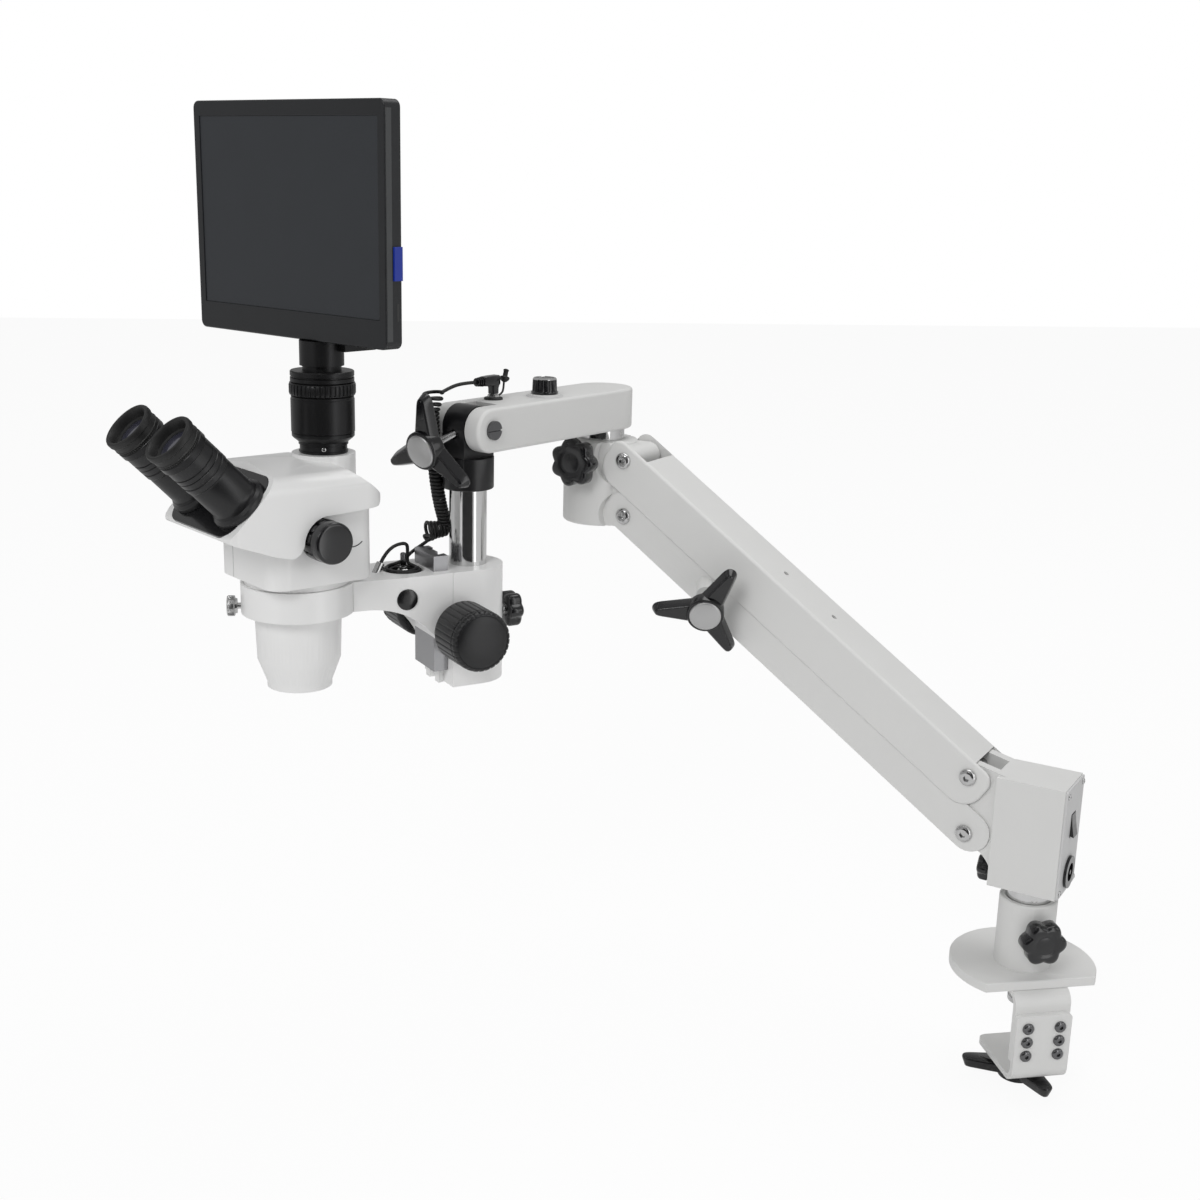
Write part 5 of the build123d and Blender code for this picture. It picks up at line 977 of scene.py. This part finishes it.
def makeAdapter():
    size = adapter
    where = seatFrame(placeOf("adapter_focus"), Vector((0, 0, 1)))
    neck, barrel = size["neck"], size["barrel"]
    shape = bmesh.new()
    turned(shape, [
        (0, -14), (neck, -14), (neck, 0.6), (neck + 0.7, 0.9), (neck + 0.7, 2.0), (neck, 2.3), (neck, 6.6),
        (neck + 0.9, 7.0), (neck + 0.9, size["neckTop"]), (barrel - 1.6, size["barrelLow"] - 1.8),
        (barrel - 0.5, size["barrelLow"] - 0.6), (barrel - 0.35, size["barrelLow"]),
        (barrel - 0.35, size["barrelLow"] + 2.2), (barrel - 0.8, size["barrelLow"] + 2.5),
        (barrel - 0.8, size["barrelLow"] + 3.0), (barrel, size["barrelLow"] + 3.3),
        (barrel, size["barrelTop"] - 2.5), (barrel - 0.4, size["barrelTop"] - 2.1),
        (barrel - 0.4, size["barrelTop"] - 0.4), (barrel - 1.0, size["barrelTop"]), (21, size["barrelTop"]),
        (21, size["ringTop"]), (barrel - 0.6, size["ringTop"]), (barrel, size["ringTop"] + 0.5),
        (barrel, size["ringTop"] + 3.4), (barrel - 1.2, size["ringTop"] + 3.8),
        (barrel - 1.2, size["ringTop"] + 4.6), (barrel, size["ringTop"] + 5.0), (barrel, size["top"] - 0.7),
        (barrel - 0.7, size["top"] - 0.05), (15.6, size["top"] - 0.05), (15.6, size["top"] - 5),
        (0, size["top"] - 5),
    ], 128)
    finishPiece(
        "camera_adapter_body", shape, where, ["anodisedBlack"], bodyOf["camera_adapter"],
        ["camera_adapter"], crease=26,
    )
    ring = bmesh.new()
    wave = ribWave(size["ribs"], 1.0, 0.36)
    knurl = size["knurl"]
    turned(ring, [
        (21.4, 46.3), (knurl - 1.6, 46.3), (knurl - 0.5, 46.9), (knurl - 0.4, 47.6), (knurl - 0.3, 47.8, 1),
        (knurl, 48.4, 1), (knurl, 54.8, 1), (knurl - 0.3, 55.4, 1), (knurl - 0.4, 55.6),
        (knurl - 0.5, 56.3), (knurl - 1.4, 56.8), (21.4, 56.8), (21.4, 46.3),
    ], 504, wave)
    finishPiece(
        "adapter_ring_knurled", ring, where, ["anodisedBlack"], *standingFor("adapter_ring"),
        crease=40,
    )


makeAdapter()

# Ring thumb screw, knurled
thumbScrew = {"radius": 8.5, "low": 3.0, "top": 11.0, "teeth": 44, "stud": 2.5, "inner": -6.5}


def makeThumbScrew():
    size = thumbScrew
    where = seatFrame(placeOf("ring_thumb"), wayOf("ring_thumb"))
    radius, low, top = size["radius"], size["low"], size["top"]
    shape = bmesh.new()
    turned(shape, [
        (0, low), (radius - 2.4, low), (radius - 2.2, low + 1.6), (radius - 0.6, low + 1.8),
        (radius - 0.1, low + 2.2, 1), (radius, low + 2.6, 1), (radius, top - 0.9, 1),
        (radius - 0.3, top - 0.5, 0.6), (radius - 0.9, top), (radius - 2.6, top), (radius - 3.0, top - 0.5),
        (0, top - 0.6),
    ], 352, ribWave(size["teeth"], 0.45, 0.6))
    turned(shape, [
        (0, size["inner"]), (size["stud"], size["inner"]), (size["stud"], low + 0.4), (0, low + 0.4),
    ], 24)
    finishPiece(
        "ring_thumb_knurled", shape, where, ["turnedSteel"], bodyOf["ring_thumb_screw"],
        ["ring_thumb_screw"], crease=50,
    )


makeThumbScrew()
print("adapter and thumb screw made")


def surfaceAt(node, where, place, way):
    # where a line from outside first meets a CAD node, and the way out of it there
    mesh = nodes[node].data
    faces = [tuple(face.vertices) for face in mesh.polygons]
    tree = BVHTree.FromPolygons([vertex.co for vertex in mesh.vertices], faces)
    out = (where.to_3x3() @ Vector(way)).normalized()
    start = where @ (Vector(place) * mm) + out * 0.2
    spot, normal, _, _ = tree.ray_cast(start, -out)
    return spot, normal


# Screw and bolt heads, placed by Geometry Nodes on points that know which way they face
def makeHeadTree():
    tree = bpy.data.node_groups.new("screwHeads", "GeometryNodeTree")
    for name, kind in (
        ("Places", "NodeSocketGeometry"), ("Head", "NodeSocketObject"), ("Size", "NodeSocketFloat"),
        ("Finish", "NodeSocketMaterial"),
    ):
        tree.interface.new_socket(name=name, in_out="INPUT", socket_type=kind)
    tree.interface.new_socket(name="Heads", in_out="OUTPUT", socket_type="NodeSocketGeometry")
    entry = tree.nodes.new("NodeGroupInput")
    leave = tree.nodes.new("NodeGroupOutput")
    way = tree.nodes.new("GeometryNodeInputNamedAttribute")
    way.data_type = "FLOAT_VECTOR"
    way.inputs["Name"].default_value = "way"
    align = tree.nodes.new("FunctionNodeAlignRotationToVector")
    align.axis = "Z"
    chance = tree.nodes.new("FunctionNodeRandomValue")
    chance.data_type = "FLOAT"
    chance.inputs[2].default_value = 0.0
    chance.inputs[3].default_value = math.radians(60)
    chance.inputs["Seed"].default_value = 7
    twist = tree.nodes.new("FunctionNodeAxisAngleToRotation")
    twist.inputs["Axis"].default_value = (0, 0, 1)
    turn = tree.nodes.new("FunctionNodeRotateRotation")
    turn.rotation_space = "LOCAL"
    head = tree.nodes.new("GeometryNodeObjectInfo")
    put = tree.nodes.new("GeometryNodeInstanceOnPoints")
    real = tree.nodes.new("GeometryNodeRealizeInstances")
    paint = tree.nodes.new("GeometryNodeSetMaterial")
    link = tree.links.new
    link(way.outputs[0], align.inputs["Vector"])
    link(chance.outputs[1], twist.inputs["Angle"])
    link(align.outputs["Rotation"], turn.inputs["Rotation"])
    link(twist.outputs["Rotation"], turn.inputs["Rotate By"])
    link(entry.outputs["Head"], head.inputs["Object"])
    link(entry.outputs["Places"], put.inputs["Points"])
    link(head.outputs["Geometry"], put.inputs["Instance"])
    link(turn.outputs["Rotation"], put.inputs["Rotation"])
    link(entry.outputs["Size"], put.inputs["Scale"])
    link(put.outputs["Instances"], real.inputs["Geometry"])
    link(real.outputs["Geometry"], paint.inputs["Geometry"])
    link(entry.outputs["Finish"], paint.inputs["Material"])
    link(paint.outputs["Geometry"], leave.inputs["Heads"])
    return tree


headTree = makeHeadTree()
screwHead = {"button": [
    (0, -0.2, 0), (7.3, -0.2, 0), (7.5, 0.2, 0), (7.5, 0.9, 0), (7.3, 1.9, 0), (6.7, 2.8, 0), (5.7, 3.5, 0),
    (4.6, 3.85, 0), (3.4, 4.0, 0), (2.5, 3.8, 1), (2.4, 1.6, 1), (0, 1.3, 0),
], "hexagon": 2.5, "steps": 48}


def hexWave(half):
    return lambda angle: half / math.cos((angle + math.pi / 6) % (math.pi / 3) - math.pi / 6) - half


def placeHeads(name, spots, size, look, body, standsFor=()):
    # spots: (place in metres, way out); size is the share of the pattern head's size
    pattern = bmesh.new()
    turned(pattern, screwHead["button"], screwHead["steps"], hexWave(screwHead["hexagon"]))
    bmesh.ops.remove_doubles(pattern, verts=pattern.verts, dist=1e-4)
    bmesh.ops.recalc_face_normals(pattern, faces=pattern.faces)
    patternMesh = bpy.data.meshes.new("headPattern")
    pattern.to_mesh(patternMesh)
    pattern.free()
    patternMesh.set_sharp_from_angle(angle=math.radians(35))
    headPattern = putIn("headPattern", patternMesh)
    mesh = bpy.data.meshes.new(name + "_places")
    mesh.from_pydata([tuple(place) for place, _ in spots], [], [])
    ways = mesh.attributes.new("way", "FLOAT_VECTOR", "POINT")
    for item, (_, way) in zip(ways.data, spots):
        item.vector = way
    holder = putIn(name + "_places", mesh)
    modifier = holder.modifiers.new("heads", "NODES")
    modifier.node_group = headTree
    inputs = {item.name: item.identifier for item in headTree.interface.items_tree if item.in_out == "INPUT"}
    modifier[inputs["Head"]] = headPattern
    modifier[inputs["Size"]] = size * mm
    modifier[inputs["Finish"]] = finishes[look]
    graph = bpy.context.evaluated_depsgraph_get()
    result = bpy.data.meshes.new_from_object(holder.evaluated_get(graph))
    bpy.data.objects.remove(holder)
    bpy.data.objects.remove(headPattern)
    piece = putIn(name, result)
    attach(piece, body)
    if standsFor:
        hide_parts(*standsFor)


# Axles of the arm's pivots: shafts and spacers, with a button head at each end
axles = {"shaft": 5.0, "spacer": 8.0, "ear": 21.5, "coverSide": 26.5, "channelSide": 23.8, "drop": 52.0}


def makeAxles(name, joint, body, node):
    where = seatFrame(placeOf(joint), wayOf(joint))
    up = where.to_3x3().inverted() @ Vector((0, 0, 1))
    shape = bmesh.new()
    heads = []
    for fall, side in ((0.0, axles["coverSide"]), (axles["drop"], axles["channelSide"])):
        shift = Matrix.Translation(-up * fall)
        part = bmesh.new()
        shaft = axles["shaft"]
        turned(part, [(0, -side), (shaft, -side), (shaft, side), (0, side)], 40)
        for end in (-1, 1):
            seat = Vector((0, 0, end * (side + 0.15))) - up * fall
            heads.append((where @ (seat * mm), where.to_3x3() @ Vector((0, 0, end))))
            if fall == 0.0:
                inner, outer = axles["ear"] * end, (side - 2.15) * end
                turned(part, [
                    (0, inner), (axles["spacer"], inner), (axles["spacer"], outer), (0, outer),
                ], 48)
        part.transform(shift)
        mesh = bpy.data.meshes.new("part")
        part.to_mesh(mesh)
        part.free()
        shape.from_mesh(mesh)
        bpy.data.meshes.remove(mesh)
    finishPiece(name + "_shafts", shape, where, ["turnedSteel"], body, [node])
    placeHeads(name + "_bolts", heads, 1.0, "boltChrome", body)


makeAxles("shoulder", "arm_lift", "shoulder", "shoulder_axles")
makeAxles("elbow", "elbow_level", "elbow", "elbow_axles")


# Bolts of the lower jaw, screws of the rear panel, set screws of the adapter's neck
smallScrews = {
    "jawRows": (-24.0, -36.8, -49.6), "jawSide": 14.4, "jawFace": -51.5, "jawSize": 0.68,
    "panelSide": 21.5, "panelHeights": (91.0, 178.0), "panelFace": -30.0, "panelSize": 0.36,
    "neckHeight": 4.6, "neckRadius": 19.0, "neckAngles": (-60, 60, 180), "neckSize": 0.26,
}


def makeSmallScrews():
    size = smallScrews
    front = Vector((0, -1, 0))
    bolts = [
        (Vector((side * size["jawSide"], size["jawFace"], row)) * mm, front)
        for side in (-1, 1) for row in size["jawRows"]
    ]
    placeHeads("jaw_bolt_heads", bolts, size["jawSize"], "darkSteel", *standingFor("jaw_bolts"))
    back = shoulderFrame.to_3x3() @ Vector((-1, 0, 0))
    screws = [(inFrame(shoulderFrame, size["panelFace"], side * size["panelSide"], height), back)
              for side in (-1, 1) for height in size["panelHeights"]]
    placeHeads("panel_screws", screws, size["panelSize"], "boltChrome", bodyOf["rear_panel"])
    foot = placeOf("adapter_focus")
    setScrews = []
    for angle in size["neckAngles"]:
        turn = headFrame.to_3x3() @ Vector((math.cos(math.radians(angle)), math.sin(math.radians(angle)), 0))
        setScrews.append((
            foot + turn * size["neckRadius"] * mm + Vector((0, 0, size["neckHeight"] * mm)), turn,
        ))
    placeHeads("adapter_screws", setScrews, size["neckSize"], "boltChrome", bodyOf["camera_adapter"])


makeSmallScrews()
print("bolts and screws placed")


# Dust cap of the power socket, standing up on its strap
dustCap = {
    "strap": [(135, -10.5, 475.0), (129.5, -11, 476.5), (126.5, -11.5, 480), (125.5, -12, 486.5)],
    "strapSize": 1.8, "foot": (125.5, -12, 486), "way": (-0.35, -0.05, 1.0),
}


def makeDustCap():
    strap = [inFrame(beamFrame, *place) for place in dustCap["strap"]]
    layLine("dust_cap_strap", strap, dustCap["strapSize"], "rubberBlack", "beam")
    where = seatFrame(inFrame(beamFrame, *dustCap["foot"]), beamFrame.to_3x3() @ Vector(dustCap["way"]))
    cap = bmesh.new()
    turned(cap, [
        (0, 0), (1.8, 0.2), (3.4, 1.6), (4.2, 3.0), (4.3, 4.0), (3.8, 4.8), (2.6, 5.0), (2.2, 5.4),
        (2.1, 9.4), (2.5, 10.2), (2.5, 10.9), (1.2, 11.6), (0, 11.8),
    ], 32)
    finishPiece("dust_cap", cap, where, ["rubberBlack"], "beam")


makeDustCap()


# Toggle switch with its nut and sleeve; the black cap disc on the side of the arm
toggle = {"nut": 5.4, "nutLow": 334.0, "nutTop": 337.4, "sleeve": 2.5, "top": 351.4}
armCap = {"place": (69, 0, 318.5), "radius": 9.0}


def makeToggle():
    size = toggle
    where = carrierFrame @ Matrix.Translation(Vector((60, 0, 0)) * mm)
    lever = bmesh.new()
    top, sleeve = size["top"], size["sleeve"]
    turned(lever, [
        (0, 330.5), (1.3, 330.5), (1.4, 336), (1.7, 339), (sleeve - 0.4, 340.6), (sleeve - 0.1, 341.2),
        (sleeve, top - 2.6), (sleeve + 0.1, top - 1.4), (sleeve - 0.5, top - 0.4), (sleeve - 1.4, top),
        (0, top + 0.1),
    ], 32)
    finishPiece("toggle_sleeve", lever, where, ["darkSteel"], *standingFor("toggle_lever"))
    nut = bmesh.new()
    low, high, reach = size["nutLow"], size["nutTop"], size["nut"]
    turned(nut, [
        (0, low), (reach - 0.4, low), (reach, low + 0.4), (reach, high - 0.5), (reach - 0.6, high),
        (3.6, high), (3.4, high + 1.8), (2.6, high + 2.2), (2.2, high + 1.6), (0, high + 1.6),
    ], 6)
    finishPiece("toggle_nut", nut, where, ["boltChrome"], bodyOf["arm_fittings"])


def makeArmCap():
    spot, normal = surfaceAt("ring_arm", carrierFrame, armCap["place"], (0, 1, 0))
    radius = armCap["radius"]
    disc = bmesh.new()
    turned(disc, [
        (0, -1), (radius - 0.3, -1), (radius, -0.2), (radius, 0.35), (radius - 0.5, 0.9),
        (radius - 2, 1.25), (radius - 5, 1.5), (0, 1.6),
    ], 64)
    finishPiece("arm_cap_disc", disc, seatFrame(spot, normal), ["mouldedBlack"], bodyOf["ring_arm"])


makeToggle()
makeArmCap()


# Display: grey strip and memory card on its side; all in the display's frame
displaySide = {"face": 92.5, "strip": ((7.0, 537.0), (12.4, 706.0)), "card": ((-2.0, 582.0), (6.0, 607.0)),
               "slot": ((0.5, 552.0), (2.6, 565.0))}


def sidePlate(name, corners, low, high, look):
    (x0, z0), (x1, z1) = corners
    face = displaySide["face"]
    shape = bmesh.new()
    block(shape, (x0, face + low, z0), (x1, face + high, z1))
    finishPiece(name, shape, displayFrame, [look], bodyOf["monitor_frame"], edge=0.15)


sidePlate("display_strip", displaySide["strip"], -0.5, 0.35, "stripGrey")
sidePlate("memory_card", displaySide["card"], -0.5, 1.8, "cardBlue")
sidePlate("card_slot", displaySide["slot"], -0.5, 0.2, "seamDark")
print("display side finished")


# Seams of the head, drawn as thin lines half sunk into the surface they follow
seams = {
    "frontSeam": (
        "zoom_body", "seamGrey", 0.35, (1, 0, 0), [(0, -18, 33), (0, -18, 22), (0, -18, 12), (0, -18, 6.2)],
    ),
    "frontSeamLow": (
        "zoom_body", "seamGrey", 0.35, (1, 0, 0), [(0, -18, 5.0), (0, -18, 3.0), (0, -18, 0.8)],
    ),
    "rearSlot": ("zoom_body", "seamDark", 0.9, (0, 1, 0), [
        (-17, 0, 34.5), (-22, 0, 33.4), (-27, 0, 33.6), (-31, 0, 35.0), (-33.5, 0, 37.0),
    ]),
}


def drawSeam(name, node, look, thickness, way, places):
    seat = placeOf("scope_turn").z / mm
    line = [surfaceAt(node, headFrame, (x, y, z + seat), way)[0] for x, y, z in places]
    layLine(name, line, thickness, look, bodyOf[node])


for seamName, seamFacts in seams.items():
    drawSeam(seamName, *seamFacts)
print("seams drawn")


# Studio: pale floor, soft lamps, dark and bright cards that only shiny metal sees
studio = {
    "floorDrop": 0.004,
    "floorSize": 14,
    "key": (50, 1.6, (-2.2, -2.6, 2.6)),
    "fill": (12, 2.2, (2.6, -2.0, 1.4)),
    "top": (32, 2.4, (0.3, 0.6, 3.2)),
    "worldLevel": 0.40,
    "floorGlow": 0.93,
    "cards": {"darkCard": (0.0, -3, 32, 1.0), "brightCard": (2.2, 44, 5, 1.0)},
    "cardHeights": (-0.09, 1.3),
    "cardCentre": (-0.468, 0.163, 0.45),
}


def addLamp(name, power, size, place, target):
    data = bpy.data.lights.new(name, "AREA")
    data.energy = power
    data.shape = "DISK"
    data.size = size
    lamp = putIn(name, data)
    way = Vector(target) - Vector(place)
    lamp.matrix_world = Matrix.Translation(place) @ way.to_track_quat("-Z", "Y").to_matrix().to_4x4()


def seenLevel(tree, level):
    # 1 for what the camera sees, and the given level for the light on the object
    path = tree.nodes.new("ShaderNodeLightPath")
    spread = tree.nodes.new("ShaderNodeMapRange")
    spread.inputs["To Min"].default_value = level
    spread.inputs["To Max"].default_value = 1.0
    tree.links.new(path.outputs["Is Camera Ray"], spread.inputs["Value"])
    return spread.outputs["Result"]


def addCard(name, level, heading, halfAngle, distance):
    # heading in degrees to the right of the way back to the camera, seen from the pole
    centre = Vector(studio["cardCentre"])
    back = Vector(camera["place"]) - centre
    angle = math.atan2(back.y, back.x) + math.radians(heading)
    reach = distance * math.tan(math.radians(halfAngle))
    out = Vector((math.cos(angle), math.sin(angle), 0))
    side = Vector((-out.y, out.x, 0))
    foot = Vector((centre.x, centre.y, 0)) + out * distance
    mesh = bpy.data.meshes.new(name)
    corners = [foot - side * reach, foot + side * reach]
    mesh.from_pydata(
        [(corner.x, corner.y, z) for z in studio["cardHeights"] for corner in corners], [], [(0, 1, 3, 2)],
    )
    card = putIn(name, mesh)
    surface = bpy.data.materials.new(name)
    surface.use_nodes = True
    shader = surface.node_tree.nodes["Principled BSDF"]
    shader.inputs["Base Color"].default_value = (0.02, 0.02, 0.02, 1)
    shader.inputs["Emission Color"].default_value = (1, 1, 1, 1)
    shader.inputs["Emission Strength"].default_value = level
    mesh.materials.append(surface)
    for seen in (
        "visible_camera", "visible_diffuse", "visible_transmission", "visible_shadow",
        "visible_volume_scatter",
    ):
        setattr(card, seen, False)


def addStudio():
    low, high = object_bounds()
    centre = (Vector(low) + Vector(high)) / 2
    mesh = bpy.data.meshes.new("floor")
    half = studio["floorSize"] / 2
    level = low[2] - studio["floorDrop"]
    corners = [(-half, -half), (half, -half), (half, half), (-half, half)]
    mesh.from_pydata([(centre.x + x, centre.y + y, level) for x, y in corners], [], [(0, 1, 2, 3)])
    floor = putIn("floor", mesh)
    pale = bpy.data.materials.new("floorWhite")
    pale.use_nodes = True
    tree = pale.node_tree
    shader = tree.nodes["Principled BSDF"]
    shader.inputs["Base Color"].default_value = (0.9, 0.9, 0.9, 1)
    shader.inputs["Roughness"].default_value = 0.8
    shader.inputs["Specular IOR Level"].default_value = 0.0
    glow = tree.nodes.new("ShaderNodeEmission")
    mixed = tree.nodes.new("ShaderNodeMixShader")
    share = tree.nodes.new("ShaderNodeMath")
    share.operation = "MULTIPLY"
    share.inputs[1].default_value = studio["floorGlow"]
    tree.links.new(seenLevel(tree, 0.0), share.inputs[0])
    tree.links.new(share.outputs[0], mixed.inputs["Fac"])
    tree.links.new(shader.outputs["BSDF"], mixed.inputs[1])
    tree.links.new(glow.outputs["Emission"], mixed.inputs[2])
    tree.links.new(mixed.outputs["Shader"], tree.nodes["Material Output"].inputs["Surface"])
    mesh.materials.append(pale)
    for name in ("key", "fill", "top"):
        power, size, place = studio[name]
        addLamp(name, power, size, place, centre)
    for name, facts in studio["cards"].items():
        addCard(name, *facts)
    world = bpy.data.worlds.new("studioWorld")
    bpy.context.scene.world = world
    world.use_nodes = True
    tree = world.node_tree
    tree.nodes["Background"].inputs["Color"].default_value = (1, 1, 1, 1)
    tree.links.new(seenLevel(tree, studio["worldLevel"]), tree.nodes["Background"].inputs["Strength"])


addStudio()
bpy.context.scene.view_settings.view_transform = "Standard"
print("studio ready")
